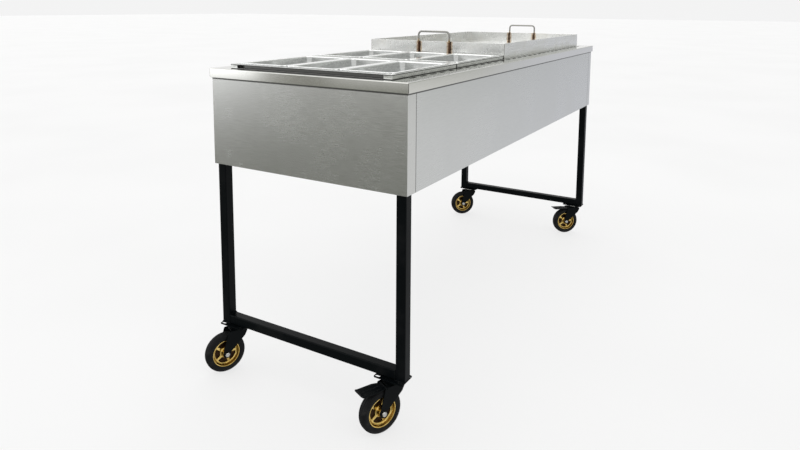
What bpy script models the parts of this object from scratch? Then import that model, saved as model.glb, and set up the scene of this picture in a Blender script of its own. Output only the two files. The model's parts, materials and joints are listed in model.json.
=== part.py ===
"""Food service cart: a stainless cabinet with two steam wells and a lift-off griddle tray,
on two square-tube end frames with four swivel casters.

Units are metres, +Z is up. +X runs along the cart, from the wells to the griddle, and +Y points
to the side with the gas knobs. The cart is drawn about the middle of its deck, standing on the
floor plane, and the last step moves the origin to the bottom centre of its bounding box.
"""
import math

import bmesh
import bpy
from mathutils import Matrix, Vector

# ---- driving dimensions -------------------------------------------------------------------------
GAP = 0.0003                    # room left between pieces that touch on the real cart
SHEET = 0.0015                  # panel thickness

DECK_LENGTH = 1.766
DECK_WIDTH = 0.662
DECK_TOP = 0.914
DECK_SHEET = 0.002
RIM_DROP = 0.027                # height of the trim that hangs from the deck's edge
OVERHANG = 0.0050               # from the trim's face back to the cabinet panels
CABINET_HEIGHT = 0.2815         # from the deck's top to the cabinet's lower edge
CORNER_RETURN = 0.0422          # how far an end panel folds round onto the long sides
HEM = 0.014                     # inward fold at a long panel's lower edge
PANEL_SEAM = 0.0005             # between a long panel's end and the end panel's return
NOTCH_EASE = 0.0004             # room round a leg where it passes an end panel's lower fold
BATH_EASE = 0.001               # room round a water bath in the deck's opening

AIR_SLOT = (0.130, 0.022)
AIR_SLOT_PITCH = 0.260
AIR_SLOT_COLUMNS = 6
AIR_SLOT_LINE = 0.120           # distance of a row of air slots from the cart's middle line

TUBE = 0.029                    # square tube of the legs
TUBE_WALL = 0.0015
BAR_HEIGHT = 0.0265
LEG_INSET = 0.0064              # from a cabinet panel's face in to the leg's face

VENT_LENGTH = 0.034
VENT_WIDTH = 0.009
VENT_PITCH = 0.056
VENT_COUNT = 29
VENT_LINE = 0.287               # distance of a row of vents from the cart's middle line

WELL_LENGTH = 0.365
WELL_WIDTH = 0.5415
WELL_RISE = 0.0135              # frame height above the deck
WELL_MARGIN = 0.024             # from the deck's near end to the first well
WELL_SPACING = 0.0084           # slit between the two wells
WELL_LEDGE_X = 0.030
WELL_LEDGE_Y = 0.0170
WELL_DEPTH = 0.125              # bath depth below the deck's top
RECESS_DEPTH = 0.014            # shadow pocket in a well frame's end faces
RECESS_HALF = 0.2455
RECESS_LIP = 0.002

PAN_LENGTH = 0.325
PAN_WIDTH = 0.1755
PAN_FLANGE = 0.012
PAN_FLANGE_THICKNESS = 0.0016
PAN_DEPTH = 0.100
PAN_TAPER = 0.009               # how far each wall leans in towards the bottom
PAN_WALL = 0.0012
PAN_PITCH = 0.1762
PAN_CORNER = 0.018
PANS_PER_WELL = 3

TRAY_LENGTH = 0.9320
TRAY_WIDTH = 0.544
TRAY_HEIGHT = 0.0543
TRAY_FLOOR = 0.006
TRAY_WALL = 0.003
TRAY_SPACING = 0.0085           # from the second well to the tray, past which its handle lifts
TRAY_REST = 0.035               # how far the deck reaches in under the tray

HANDLE_WIRE = 0.0035            # radius
HANDLE_SPAN = 0.125
HANDLE_FOOT = 0.0165            # lowest weld, above the deck
HANDLE_TOP = 0.0927
HANDLE_BEND = 0.013

BURNER_LEVEL = 0.745
BURNER_RADIUS = 0.014
BURNER_REACH = 0.205            # half length across the cart
BURNER_SHORTFALL = 0.030        # from there back to the ends of its tubes, on the valve side
BURNER_MOUTH = 0.018            # throat beyond the reach, where gas and air go in
BURNER_FOOT = 0.004             # thickness
BURNER_FOOT_SPANS = ((0.020, 0.050), (0.035, 0.060))    # from the tubes' blind and open ends
GRIDDLE_BURNER_SPREAD = 0.075   # half distance between a griddle burner's two tubes
WELL_BURNER_SPREAD = 0.055
MANIFOLD_LINE = 0.284
MANIFOLD_RADIUS = 0.009
MANIFOLD_HALF = 0.800
MANIFOLD_DROP = 0.020           # pipe below the valve stems
GAS_INLET = 0.770               # where the gas comes up into the pipe, along the cart
INLET_RADIUS = 0.0065
INLET_HOLE = 0.010
INLET_DROP = 0.018              # below the cabinet's lower edge
VALVE = (0.012, 0.013, 0.012)   # half length, half width, and height above the stem
VALVE_FOOT = 0.003              # below the pipe's middle
ORIFICE_REACH = 0.026
ORIFICE_RADIUS = 0.004
STEM_RADIUS = 0.004
STEM_HOLE = 0.007
KNOB_RADIUS = 0.019
KNOB_DEPTH = 0.021
KNOB_CLEARANCE = 0.003

CASTER_HEIGHT = 0.1395
WHEEL_RADIUS = 0.0594
TYRE_WIDTH = 0.0305
TYRE_BORE = 0.0412
WHEEL_STEPS = 20                # facets round a tyre and its hub, which must match
TRAIL = 0.040                   # swivel axis to axle
CASTER_PLATE = (0.054, 0.088, 0.003)
PLATE_SHIFT = 0.030             # swivel axis inboard of the leg's middle, across the cart
SLOT_SPREAD = (0.0185, 0.0345)
SLOT_RADIUS = 0.0042
SLOT_STRETCH = 0.0035
PLATE_CORNER = 0.004
RACE_RADIUS = 0.021
RACE_BOTTOM = 0.1316
CROWN_TOP = 0.1266
CROWN_BOTTOM = 0.1236
KINGPIN_RADIUS = 0.006
KINGPIN_END = 0.1208
RACE_PLAY = 0.0006              # between a fork's cup and the plate's race
PIN_PLAY = 0.0005
BORE_PLAY = 0.0004
CROWN_LENGTH = 0.049
CROWN_CORNER = 0.010
CHEEK_INNER = 0.0185
CHEEK_THICKNESS = 0.0025
CHEEK_SPAN = (-0.0205, 0.0350)  # a cheek's top edge, along the trail
CHEEK_END = 0.0125              # radius of its round end at the axle
SHOULDER = ((0.009, 0.0), (0.0025, 0.0040), (0.0, 0.0090))  # a tyre's, in from radius and side
TYRE_SEAT = 0.001               # how much narrower a tyre is at its bore
HUB_HALF = 0.0165
HUB_RIM_HALF = 0.0130
HUB_WEB_HALF = 0.0040
HUB_BOSS = (0.0125, 0.0135)     # radius at its face, and at the web
HUB_RIM = (0.0345, 0.0360)      # inner radius at the web, and at the rim's edges
HUB_SPOKES = 5
WINDOW_RADII = (0.0165, 0.0315)
WINDOW_HALF_ANGLE = 24.0        # degrees, at the outer radius
WINDOW_TAPER = 0.55             # its share of that at the inner radius
AXLE_RADIUS = 0.004
AXLE_THREAD = 0.006             # bolt beyond a cheek
BOLT_RADIUS = 0.0072            # head and nut
BOLT_HEAD = 0.0045
BOLT_NUT = 0.0050
PEDAL_PIVOT = (0.0290, 0.1223)  # along the trail, and height
PEDAL_TIP = 0.1060
PEDAL_HALF = 0.0215
PEDAL_PLATE = 0.0024
PEDAL_PIN = 0.002
PEDAL_RAISE = 0.0020            # the plate's top above the pin
PEDAL_BACK = 0.0100             # from the pin to the wide plate
PEDAL_CURL = ((0.013, 0.0), (0.001, 0.0034), (0.0, 0.0010), (0.012, -PEDAL_PLATE))
PEDAL_TONGUE = (-0.0035, 0.0110)
PEDAL_BARREL = 0.0030

# Direction in which each wheel trails at rest, measured from +X towards +Y
REST_TRAIL = {
    "near_front": 154.5,
    "near_back": 154.3,
    "far_back": 131.7,
    "far_front": 130.0,
}
BRAKED = ("near_front", "far_front")

# ---- worked out from the driving dimensions -----------------------------------------------------
CABINET_BOTTOM = DECK_TOP - CABINET_HEIGHT
PANEL_TOP = DECK_TOP - DECK_SHEET - GAP
PANEL_X = DECK_LENGTH / 2 - OVERHANG
PANEL_Y = DECK_WIDTH / 2 - OVERHANG
LEG_X = PANEL_X - LEG_INSET     # outer faces of the legs
LEG_Y = PANEL_Y - LEG_INSET
WELL_START = (
    -DECK_LENGTH / 2 + WELL_MARGIN,
    -DECK_LENGTH / 2 + WELL_MARGIN + WELL_LENGTH + WELL_SPACING,
)
TRAY_START = WELL_START[1] + WELL_LENGTH + TRAY_SPACING
TRAY_END = TRAY_START + TRAY_LENGTH
WELL_TOP = DECK_TOP + WELL_RISE
BURNER_PLACES = (
    ("well_1", WELL_START[0] + WELL_LENGTH / 2, WELL_BURNER_SPREAD),
    ("well_2", WELL_START[1] + WELL_LENGTH / 2, WELL_BURNER_SPREAD),
    ("griddle_1", TRAY_START + TRAY_LENGTH * 0.27, GRIDDLE_BURNER_SPREAD),
    ("griddle_2", TRAY_START + TRAY_LENGTH * 0.73, GRIDDLE_BURNER_SPREAD),
)


# ---- scene and materials ------------------------------------------------------------------------
def clear_scene():
    for obj in list(bpy.data.objects):
        bpy.data.objects.remove(obj, do_unlink=True)


def make_material(name, colour, roughness, metallic):
    material = bpy.data.materials.new(name)
    material.use_nodes = True
    shader = material.node_tree.nodes["Principled BSDF"]
    shader.inputs["Base Color"].default_value = (*colour, 1.0)
    shader.inputs["Roughness"].default_value = roughness
    shader.inputs["Metallic"].default_value = metallic
    return material


def make_palette():
    return {
        "stainless": make_material("stainless", (0.62, 0.63, 0.62), 0.32, 1.0),
        "bright_stainless": make_material("bright_stainless", (0.72, 0.73, 0.72), 0.22, 1.0),
        "black_paint": make_material("black_paint", (0.012, 0.012, 0.013), 0.38, 0.0),
        "rubber": make_material("rubber", (0.018, 0.018, 0.019), 0.75, 0.0),
        "gold_wheel": make_material("gold_wheel", (0.62, 0.43, 0.10), 0.30, 1.0),
        "zinc": make_material("zinc", (0.60, 0.60, 0.58), 0.30, 1.0),
        "cast_iron": make_material("cast_iron", (0.06, 0.055, 0.05), 0.70, 1.0),
        "brass": make_material("brass", (0.66, 0.49, 0.20), 0.35, 1.0),
        "knob_plastic": make_material("knob_plastic", (0.015, 0.015, 0.015), 0.45, 0.0),
    }


# ---- shapes: each returns a bmesh holding one closed body ---------------------------------------
def box(low, high):
    shape = bmesh.new()
    bmesh.ops.create_cube(shape, size=1.0)
    for vert in shape.verts:
        for axis in range(3):
            middle = (low[axis] + high[axis]) / 2
            vert.co[axis] = middle + vert.co[axis] * (high[axis] - low[axis])
    return shape


def prism(outline, axis, start, end):
    """Extrude an outline, drawn in the plane across `axis`, from start to end along it."""
    shape = bmesh.new()
    others = [index for index in range(3) if index != axis]
    verts = []
    for first, second in outline:
        point = [0.0, 0.0, 0.0]
        point[others[0]], point[others[1]], point[axis] = first, second, start
        verts.append(shape.verts.new(point))
    face = shape.faces.new(verts)
    step = [0.0, 0.0, 0.0]
    step[axis] = end - start
    side = bmesh.ops.extrude_face_region(shape, geom=[face])
    moved = [item for item in side["geom"] if isinstance(item, bmesh.types.BMVert)]
    bmesh.ops.translate(shape, verts=moved, vec=step)
    bmesh.ops.recalc_face_normals(shape, faces=shape.faces)
    return shape


def rod(start, end, radius, sides=8):
    """A round bar between two points."""
    start, end = Vector(start), Vector(end)
    shape = bmesh.new()
    bmesh.ops.create_cone(
        shape, cap_ends=True, segments=sides, radius1=radius, radius2=radius,
        depth=(end - start).length,
    )
    turn = (end - start).to_track_quat("Z", "Y").to_matrix().to_4x4()
    bmesh.ops.transform(shape, matrix=Matrix.Translation((start + end) / 2) @ turn, verts=shape.verts)
    return shape


def turned(profile, steps):
    """Spin a closed (radius, y) outline about the Y axis, as a ring or wheel."""
    shape = bmesh.new()
    rings = []
    for index in range(steps):
        angle = 2 * math.pi * index / steps
        spoke = (math.cos(angle), math.sin(angle))
        rings.append([shape.verts.new((r * spoke[0], y, r * spoke[1])) for r, y in profile])
    count = len(profile)
    for index, ring in enumerate(rings):
        following = rings[(index + 1) % steps]
        for point in range(count):
            after = (point + 1) % count
            shape.faces.new((ring[point], ring[after], following[after], following[point]))
    bmesh.ops.recalc_face_normals(shape, faces=shape.faces)
    return shape


def rounded_outline(length, width, radius, steps=3):
    """Corner-rounded rectangle about the origin, as (x, y) points."""
    points = []
    for quarter, (side_x, side_y) in enumerate(((1, 1), (-1, 1), (-1, -1), (1, -1))):
        centre = (side_x * (length / 2 - radius), side_y * (width / 2 - radius))
        for step in range(steps + 1):
            angle = math.pi / 2 * (quarter + step / steps)
            points.append((centre[0] + radius * math.cos(angle), centre[1] + radius * math.sin(angle)))
    return points


def lofted(sections):
    """Join outlines of equal point count, given as (points, z), and close both ends."""
    shape = bmesh.new()
    loops = [[shape.verts.new((x, y, z)) for x, y in points] for points, z in sections]
    count = len(loops[0])
    for lower, upper in zip(loops, loops[1:]):
        for point in range(count):
            after = (point + 1) % count
            shape.faces.new((lower[point], lower[after], upper[after], upper[point]))
    shape.faces.new(loops[0])
    shape.faces.new(loops[-1])
    bmesh.ops.recalc_face_normals(shape, faces=shape.faces)
    return shape


def merged(shapes):
    """Several shapes that don't touch, in one mesh, for cutting them all at once."""
    whole = bmesh.new()
    for shape in shapes:
        holder = bpy.data.meshes.new("holder")
        shape.to_mesh(holder)
        whole.from_mesh(holder)
        bpy.data.meshes.remove(holder)
    return whole


def to_mesh(name, shape):
    mesh = bpy.data.meshes.new(name)
    shape.to_mesh(mesh)
    shape.free()
    return mesh


def combine(name, base, joined=(), cutters=()):
    """Union `joined` onto a base shape, then subtract `cutters`; returns the finished mesh."""
    target = bpy.data.objects.new(name, to_mesh(name, base))
    bpy.context.scene.collection.objects.link(target)
    helpers = []
    for operation, shapes in (("UNION", joined), ("DIFFERENCE", cutters)):
        for shape in shapes:
            helper = bpy.data.objects.new("helper", to_mesh("helper", shape))
            bpy.context.scene.collection.objects.link(helper)
            step = target.modifiers.new(operation, "BOOLEAN")
            step.operation = operation
            step.solver = "EXACT"
            step.object = helper
            helpers.append(helper)
    graph = bpy.context.evaluated_depsgraph_get()
    mesh = bpy.data.meshes.new_from_object(target.evaluated_get(graph))
    for obj in [*helpers, target]:
        bpy.data.objects.remove(obj, do_unlink=True)
    mesh.name = name
    return mesh


def smooth(mesh, angle=35.0):
    mesh.shade_smooth()
    mesh.set_sharp_from_angle(angle=math.radians(angle))
    return mesh


def place(name, mesh, material, parent=None, location=(0, 0, 0)):
    obj = bpy.data.objects.new(name, mesh)
    if not mesh.materials:
        mesh.materials.append(material)
    bpy.context.scene.collection.objects.link(obj)
    obj.parent = parent
    obj.location = location
    return obj


def pivot(name, location, turn=0.0, parent=None):
    """An empty on a moving piece's axis."""
    empty = bpy.data.objects.new(name, None)
    bpy.context.scene.collection.objects.link(empty)
    empty.parent = parent
    empty.location = location
    empty.rotation_euler = (0, 0, turn)
    return empty


# ---- cabinet ------------------------------------------------------------------------------------
def leg_spans():
    """The (x, y) spans of the four legs, by corner name."""
    inner_x, inner_y = LEG_X - TUBE, LEG_Y - TUBE
    return {
        "near_front": ((-LEG_X, -inner_x), (-LEG_Y, -inner_y)),
        "near_back": ((-LEG_X, -inner_x), (inner_y, LEG_Y)),
        "far_back": ((inner_x, LEG_X), (inner_y, LEG_Y)),
        "far_front": ((inner_x, LEG_X), (-LEG_Y, -inner_y)),
    }


def well_bath_span(index):
    """Outer (low, high) corners of a water bath, as (x, y)."""
    start = WELL_START[index]
    return (
        (start + WELL_LEDGE_X - SHEET, -WELL_WIDTH / 2 + WELL_LEDGE_Y - SHEET),
        (start + WELL_LENGTH - WELL_LEDGE_X + SHEET, WELL_WIDTH / 2 - WELL_LEDGE_Y + SHEET),
    )


def build_deck(material):
    half_x, half_y = DECK_LENGTH / 2, DECK_WIDTH / 2
    base = box((-half_x, -half_y, DECK_TOP - RIM_DROP), (half_x, half_y, DECK_TOP))
    inside = box(
        (-half_x + DECK_SHEET, -half_y + DECK_SHEET, DECK_TOP - RIM_DROP - DECK_SHEET),
        (half_x - DECK_SHEET, half_y - DECK_SHEET, DECK_TOP - DECK_SHEET),
    )
    above, below = DECK_TOP + DECK_SHEET, DECK_TOP - 2 * DECK_SHEET
    openings = []
    for index in range(len(WELL_START)):
        low, high = well_bath_span(index)
        openings.append(box(
            (low[0] - BATH_EASE, low[1] - BATH_EASE, below),
            (high[0] + BATH_EASE, high[1] + BATH_EASE, above),
        ))
    openings.append(box(
        (TRAY_START + TRAY_REST, -TRAY_WIDTH / 2 + TRAY_REST, below),
        (TRAY_END - TRAY_REST, TRAY_WIDTH / 2 - TRAY_REST, above),
    ))
    for side in (-1, 1):
        for index in range(VENT_COUNT):
            x = (index - (VENT_COUNT - 1) / 2) * VENT_PITCH
            y = side * VENT_LINE
            openings.append(box(
                (x - VENT_LENGTH / 2, y - VENT_WIDTH / 2, below),
                (x + VENT_LENGTH / 2, y + VENT_WIDTH / 2, above),
            ))
    place("top_deck", combine("top_deck", base, cutters=[inside, merged(openings)]), material)


def build_end_panels(material):
    for name, side in (("end_panel_near", -1), ("end_panel_far", 1)):
        faces = sorted((side * PANEL_X, side * (PANEL_X - CORNER_RETURN)))
        base = box((faces[0], -PANEL_Y, CABINET_BOTTOM), (faces[1], PANEL_Y, PANEL_TOP))
        hollow = sorted((side * (PANEL_X - SHEET), side * (PANEL_X - CORNER_RETURN - SHEET)))
        inside = box(
            (hollow[0], -PANEL_Y + SHEET, CABINET_BOTTOM + SHEET),
            (hollow[1], PANEL_Y - SHEET, PANEL_TOP + SHEET),
        )
        notches = []
        for span_x, span_y in leg_spans().values():
            if span_x[0] * side > 0:
                notches.append(box(
                    (span_x[0] - NOTCH_EASE, span_y[0] - NOTCH_EASE, CABINET_BOTTOM - SHEET),
                    (span_x[1] + NOTCH_EASE, span_y[1] + NOTCH_EASE, CABINET_BOTTOM + 2 * SHEET),
                ))
        place(name, combine(name, base, cutters=[inside, merged(notches)]), material)


def build_side_panels(material):
    half = PANEL_X - CORNER_RETURN - PANEL_SEAM
    profile = (
        (PANEL_Y, CABINET_BOTTOM),
        (PANEL_Y, PANEL_TOP),
        (PANEL_Y - SHEET, PANEL_TOP),
        (PANEL_Y - SHEET, CABINET_BOTTOM + SHEET),
        (PANEL_Y - HEM, CABINET_BOTTOM + SHEET),
        (PANEL_Y - HEM, CABINET_BOTTOM),
    )
    mirrored = [(-y, z) for y, z in profile]
    front = prism(mirrored, 0, -half, half)
    place("side_panel_front", to_mesh("side_panel_front", front), material)

    stem_holes = [
        rod((x, PANEL_Y - 2 * SHEET, BURNER_LEVEL), (x, PANEL_Y + SHEET, BURNER_LEVEL), STEM_HOLE)
        for _, x, _ in BURNER_PLACES
    ]
    back = combine("side_panel_back", prism(profile, 0, -half, half), cutters=[merged(stem_holes)])
    place("side_panel_back", back, material)


def build_bottom_pan(material):
    """Heat shield that lies on the side panels' hems, with air slots and a hole for the gas inlet."""
    half_x = PANEL_X - CORNER_RETURN - 4 * PANEL_SEAM
    half_y = PANEL_Y - SHEET - 2 * PANEL_SEAM
    low = CABINET_BOTTOM + SHEET + GAP
    base = box((-half_x, -half_y, low), (half_x, half_y, low + SHEET))
    openings = []
    for column in range(AIR_SLOT_COLUMNS):
        x = (column - (AIR_SLOT_COLUMNS - 1) / 2) * AIR_SLOT_PITCH
        for y in (-AIR_SLOT_LINE, AIR_SLOT_LINE):
            openings.append(box(
                (x - AIR_SLOT[0] / 2, y - AIR_SLOT[1] / 2, low - SHEET),
                (x + AIR_SLOT[0] / 2, y + AIR_SLOT[1] / 2, low + 2 * SHEET),
            ))
    inlet = (GAS_INLET, MANIFOLD_LINE)
    openings.append(rod((*inlet, low - SHEET), (*inlet, low + 2 * SHEET), INLET_HOLE))
    place("bottom_pan", combine("bottom_pan", base, cutters=[merged(openings)]), material)


# ---- frame --------------------------------------------------------------------------------------
def square_tube(name, low, high, along):
    """A hollow tube, open at both ends along the given axis."""
    inner_low = [low[i] + (0 if i == along else TUBE_WALL) for i in range(3)]
    inner_high = [high[i] - (0 if i == along else TUBE_WALL) for i in range(3)]
    inner_low[along] -= TUBE
    inner_high[along] += TUBE
    return combine(name, box(low, high), cutters=[box(inner_low, inner_high)])


def build_frame(material):
    foot = CASTER_HEIGHT + GAP
    head = PANEL_TOP - GAP
    inner_x, inner_y = LEG_X - TUBE, LEG_Y - TUBE
    for corner, (span_x, span_y) in leg_spans().items():
        name = "leg_" + corner
        mesh = square_tube(name, (span_x[0], span_y[0], foot), (span_x[1], span_y[1], head), 2)
        place(name, mesh, material)
    for end, side in (("near", -1), ("far", 1)):
        faces = sorted((side * LEG_X, side * inner_x))
        for kind, low, high in (
            ("crossbar_", foot, foot + BAR_HEIGHT),
            ("end_rail_", head - TUBE, head),
        ):
            name = kind + end
            mesh = square_tube(
                name, (faces[0], -inner_y + GAP, low), (faces[1], inner_y - GAP, high), 1,
            )
            place(name, mesh, material)
    for name, side in (("long_rail_front", -1), ("long_rail_back", 1)):
        faces = sorted((side * LEG_Y, side * inner_y))
        mesh = square_tube(
            name, (-inner_x + GAP, faces[0], head - TUBE), (inner_x - GAP, faces[1], head), 0,
        )
        place(name, mesh, material)


# ---- wells, pans and griddle tray ---------------------------------------------------------------
def build_well(index, material):
    """A water bath that hangs in the deck from its raised frame."""
    start, end = WELL_START[index], WELL_START[index] + WELL_LENGTH
    half = WELL_WIDTH / 2
    frame = box((start, -half, DECK_TOP + GAP), (end, half, WELL_TOP))
    low, high = well_bath_span(index)
    bottom = DECK_TOP - WELL_DEPTH
    bath = box((*low, bottom), (*high, DECK_TOP + 2 * GAP))
    water_space = box(
        (low[0] + SHEET, low[1] + SHEET, bottom + SHEET),
        (high[0] - SHEET, high[1] - SHEET, WELL_TOP + SHEET),
    )
    pockets = [
        box(
            (edge[0], -RECESS_HALF, DECK_TOP + GAP + RECESS_LIP),
            (edge[1], RECESS_HALF, WELL_TOP - RECESS_LIP),
        )
        for edge in ((start - SHEET, start + RECESS_DEPTH), (end - RECESS_DEPTH, end + SHEET))
    ]
    name = f"steam_well_{index + 1}"
    mesh = combine(name, frame, joined=[bath], cutters=[water_space, merged(pockets)])
    place(name, mesh, material)


def pan_mesh():
    """A third-size pan about its own middle, with its flange's underside at z = 0."""
    mouth = (PAN_LENGTH - 2 * PAN_FLANGE, PAN_WIDTH - 2 * PAN_FLANGE)
    floor = (mouth[0] - 2 * PAN_TAPER, mouth[1] - 2 * PAN_TAPER)
    wall = 2 * PAN_WALL
    sections = (
        (rounded_outline(*floor, PAN_CORNER), -PAN_DEPTH),
        (rounded_outline(*mouth, PAN_CORNER), 0.0),
        (rounded_outline(PAN_LENGTH, PAN_WIDTH, PAN_CORNER), 0.0),
        (rounded_outline(PAN_LENGTH, PAN_WIDTH, PAN_CORNER), PAN_FLANGE_THICKNESS),
        (rounded_outline(mouth[0] - wall, mouth[1] - wall, PAN_CORNER), PAN_FLANGE_THICKNESS),
        (rounded_outline(floor[0] - wall, floor[1] - wall, PAN_CORNER), PAN_WALL - PAN_DEPTH),
    )
    return smooth(to_mesh("pan", lofted(sections)))


def build_pans(material):
    mesh = pan_mesh()
    for well, start in enumerate(WELL_START):
        for row in range(PANS_PER_WELL):
            name = f"pan_{well * PANS_PER_WELL + row + 1}"
            y = (row - (PANS_PER_WELL - 1) / 2) * PAN_PITCH
            place(name, mesh, material, location=(start + WELL_LENGTH / 2, y, WELL_TOP + GAP))


def build_tray(material):
    half = TRAY_WIDTH / 2
    top = DECK_TOP + TRAY_HEIGHT
    base = box((TRAY_START, -half, DECK_TOP + GAP), (TRAY_END, half, top))
    inside = box(
        (TRAY_START + TRAY_WALL, -half + TRAY_WALL, DECK_TOP + GAP + TRAY_FLOOR),
        (TRAY_END - TRAY_WALL, half - TRAY_WALL, top + TRAY_WALL),
    )
    place("griddle_tray", combine("griddle_tray", base, cutters=[inside]), material)


def handle_path(x):
    """Points of a wire loop that stands against a tray wall, feet down."""
    half = HANDLE_SPAN / 2
    foot, top = DECK_TOP + HANDLE_FOOT, DECK_TOP + HANDLE_TOP - HANDLE_WIRE
    bend, steps = HANDLE_BEND, 5
    points = [(x, -half, foot)]
    for side in (-1, 1):
        for step in range(steps + 1):
            turn = step if side < 0 else steps - step
            angle = math.pi / 2 * turn / steps
            y = half - bend + bend * math.cos(angle)
            points.append((x, side * y, top - bend + bend * math.sin(angle)))
    points.append((x, half, foot))
    return points


def build_handles(material):
    reach = HANDLE_WIRE + GAP
    for name, x in (("tray_handle_near", TRAY_START - reach), ("tray_handle_far", TRAY_END + reach)):
        curve = bpy.data.curves.new(name, "CURVE")
        curve.dimensions = "3D"
        curve.bevel_depth = HANDLE_WIRE
        curve.bevel_resolution = 2
        curve.use_fill_caps = True
        points = handle_path(x)
        spline = curve.splines.new("POLY")
        spline.points.add(len(points) - 1)
        for point, place_at in zip(spline.points, points):
            point.co = (*place_at, 1.0)
        place(name, curve, material)


# ---- gas system ---------------------------------------------------------------------------------
def build_burners(material):
    """Twin-tube burners across the cart, each on four feet that stand on the bottom pan."""
    floor = CABINET_BOTTOM + 2 * SHEET + 2 * GAP
    ends = (-BURNER_REACH, BURNER_REACH - BURNER_SHORTFALL)
    bridge_line = ends[1] - BURNER_RADIUS
    foot_spans = (
        (ends[0] + BURNER_FOOT_SPANS[0][0], ends[0] + BURNER_FOOT_SPANS[0][1]),
        (ends[1] - BURNER_FOOT_SPANS[1][1], ends[1] - BURNER_FOOT_SPANS[1][0]),
    )
    for label, x, spread in BURNER_PLACES:
        tubes, feet = [], []
        for middle in (x - spread, x + spread):
            tubes.append(rod(
                (middle, ends[0], BURNER_LEVEL), (middle, ends[1], BURNER_LEVEL), BURNER_RADIUS,
            ))
            for start, end in foot_spans:
                feet.append(box(
                    (middle - BURNER_FOOT / 2, start, floor),
                    (middle + BURNER_FOOT / 2, end, BURNER_LEVEL),
                ))
        bridge = rod(
            (x - spread, bridge_line, BURNER_LEVEL), (x + spread, bridge_line, BURNER_LEVEL),
            BURNER_RADIUS * 0.9,
        )
        mouth = BURNER_REACH + BURNER_MOUTH
        throat = rod(
            (x, bridge_line, BURNER_LEVEL), (x, mouth, BURNER_LEVEL), BURNER_RADIUS * 0.8,
        )
        air_mouth = rod(
            (x, BURNER_REACH, BURNER_LEVEL), (x, mouth + BURNER_MOUTH, BURNER_LEVEL),
            BURNER_RADIUS * 0.6,
        )
        name = "burner_" + label
        mesh = combine(name, tubes[0], joined=[bridge, tubes[1], throat, *feet], cutters=[air_mouth])
        place(name, smooth(mesh), material)


def build_manifold(material):
    """Gas pipe behind the knobs: a valve, an orifice and a stem for each burner, and an inlet."""
    y, z = MANIFOLD_LINE, BURNER_LEVEL
    pipe = z - MANIFOLD_DROP
    base = rod((-MANIFOLD_HALF, y, pipe), (MANIFOLD_HALF, y, pipe), MANIFOLD_RADIUS)
    stem_end = PANEL_Y + KNOB_CLEARANCE + KNOB_DEPTH * 0.6
    joined = []
    for _, x, _ in BURNER_PLACES:
        joined.append(box(
            (x - VALVE[0], y - VALVE[1], pipe - VALVE_FOOT), (x + VALVE[0], y + VALVE[1], z + VALVE[2]),
        ))
        joined.append(rod((x, y, z), (x, y - ORIFICE_REACH, z), ORIFICE_RADIUS, 6))
        joined.append(rod((x, y, z), (x, stem_end, z), STEM_RADIUS))
    inlet_end = CABINET_BOTTOM - INLET_DROP
    joined.append(rod((GAS_INLET, y, pipe), (GAS_INLET, y, inlet_end), INLET_RADIUS))
    mesh = combine("gas_manifold", base, joined=joined)
    place("gas_manifold", smooth(mesh), material)


def knob_mesh():
    """A valve knob about its stem, with its back at y = 0 and a grip bar across its face."""
    skirt = rod((0, 0, 0), (0, KNOB_DEPTH * 0.45, 0), KNOB_RADIUS, 16)
    body = rod((0, KNOB_DEPTH * 0.40, 0), (0, KNOB_DEPTH * 0.85, 0), KNOB_RADIUS * 0.80, 16)
    grip = box(
        (-KNOB_RADIUS * 0.22, KNOB_DEPTH * 0.5, -KNOB_RADIUS * 0.95),
        (KNOB_RADIUS * 0.22, KNOB_DEPTH, KNOB_RADIUS * 0.95),
    )
    socket = rod((0, -KNOB_CLEARANCE, 0), (0, KNOB_DEPTH * 0.62, 0), STEM_RADIUS + GAP)
    return smooth(combine("knob", skirt, joined=[body, grip], cutters=[socket]))


def build_knobs(material):
    mesh = knob_mesh()
    for label, x, _ in BURNER_PLACES:
        axis = pivot("knob_axis_" + label, (x, PANEL_Y + KNOB_CLEARANCE, BURNER_LEVEL))
        place("knob_" + label, mesh, material, parent=axis)


# ---- casters: drawn with the swivel axis on Z and the wheel trailing towards +X -----------------
def caster_plate_mesh():
    """Top plate with its race and kingpin. The plate lies square to the cart, whatever the swivel."""
    length, width, thickness = CASTER_PLATE
    plate = lofted((
        (rounded_outline(length, width, PLATE_CORNER, 2), CASTER_HEIGHT - thickness),
        (rounded_outline(length, width, PLATE_CORNER, 2), CASTER_HEIGHT),
    ))
    race = rod((0, 0, RACE_BOTTOM), (0, 0, CASTER_HEIGHT - thickness / 2), RACE_RADIUS, 16)
    kingpin = rod((0, 0, KINGPIN_END), (0, 0, CASTER_HEIGHT - thickness / 2), KINGPIN_RADIUS)
    slots = []
    for side_x in (-1, 1):
        for side_y in (-1, 1):
            outline = []
            for step in range(8):
                angle = 2 * math.pi * (step + 0.5) / 8
                stretch = SLOT_STRETCH if math.sin(angle) > 0 else -SLOT_STRETCH
                outline.append((
                    side_x * SLOT_SPREAD[0] + SLOT_RADIUS * math.cos(angle),
                    side_y * SLOT_SPREAD[1] + SLOT_RADIUS * math.sin(angle) + stretch,
                ))
            slots.append(prism(outline, 2, CASTER_HEIGHT - 2 * thickness, CASTER_HEIGHT + thickness))
    mesh = combine("caster_plate", plate, joined=[race, kingpin], cutters=[merged(slots)])
    return smooth(mesh)


def cheek_outline():
    """Side view of a fork cheek, as (trail, height): crown edge, taper, and a round axle end."""
    back, front = CHEEK_SPAN
    points = [(back, CROWN_BOTTOM), (back, CROWN_TOP), (front, CROWN_TOP)]
    steps = 6
    for step in range(steps + 1):
        angle = math.radians(20 - 220 * step / steps)
        points.append((
            TRAIL + CHEEK_END * math.cos(angle), WHEEL_RADIUS + CHEEK_END * math.sin(angle),
        ))
    return points


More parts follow.
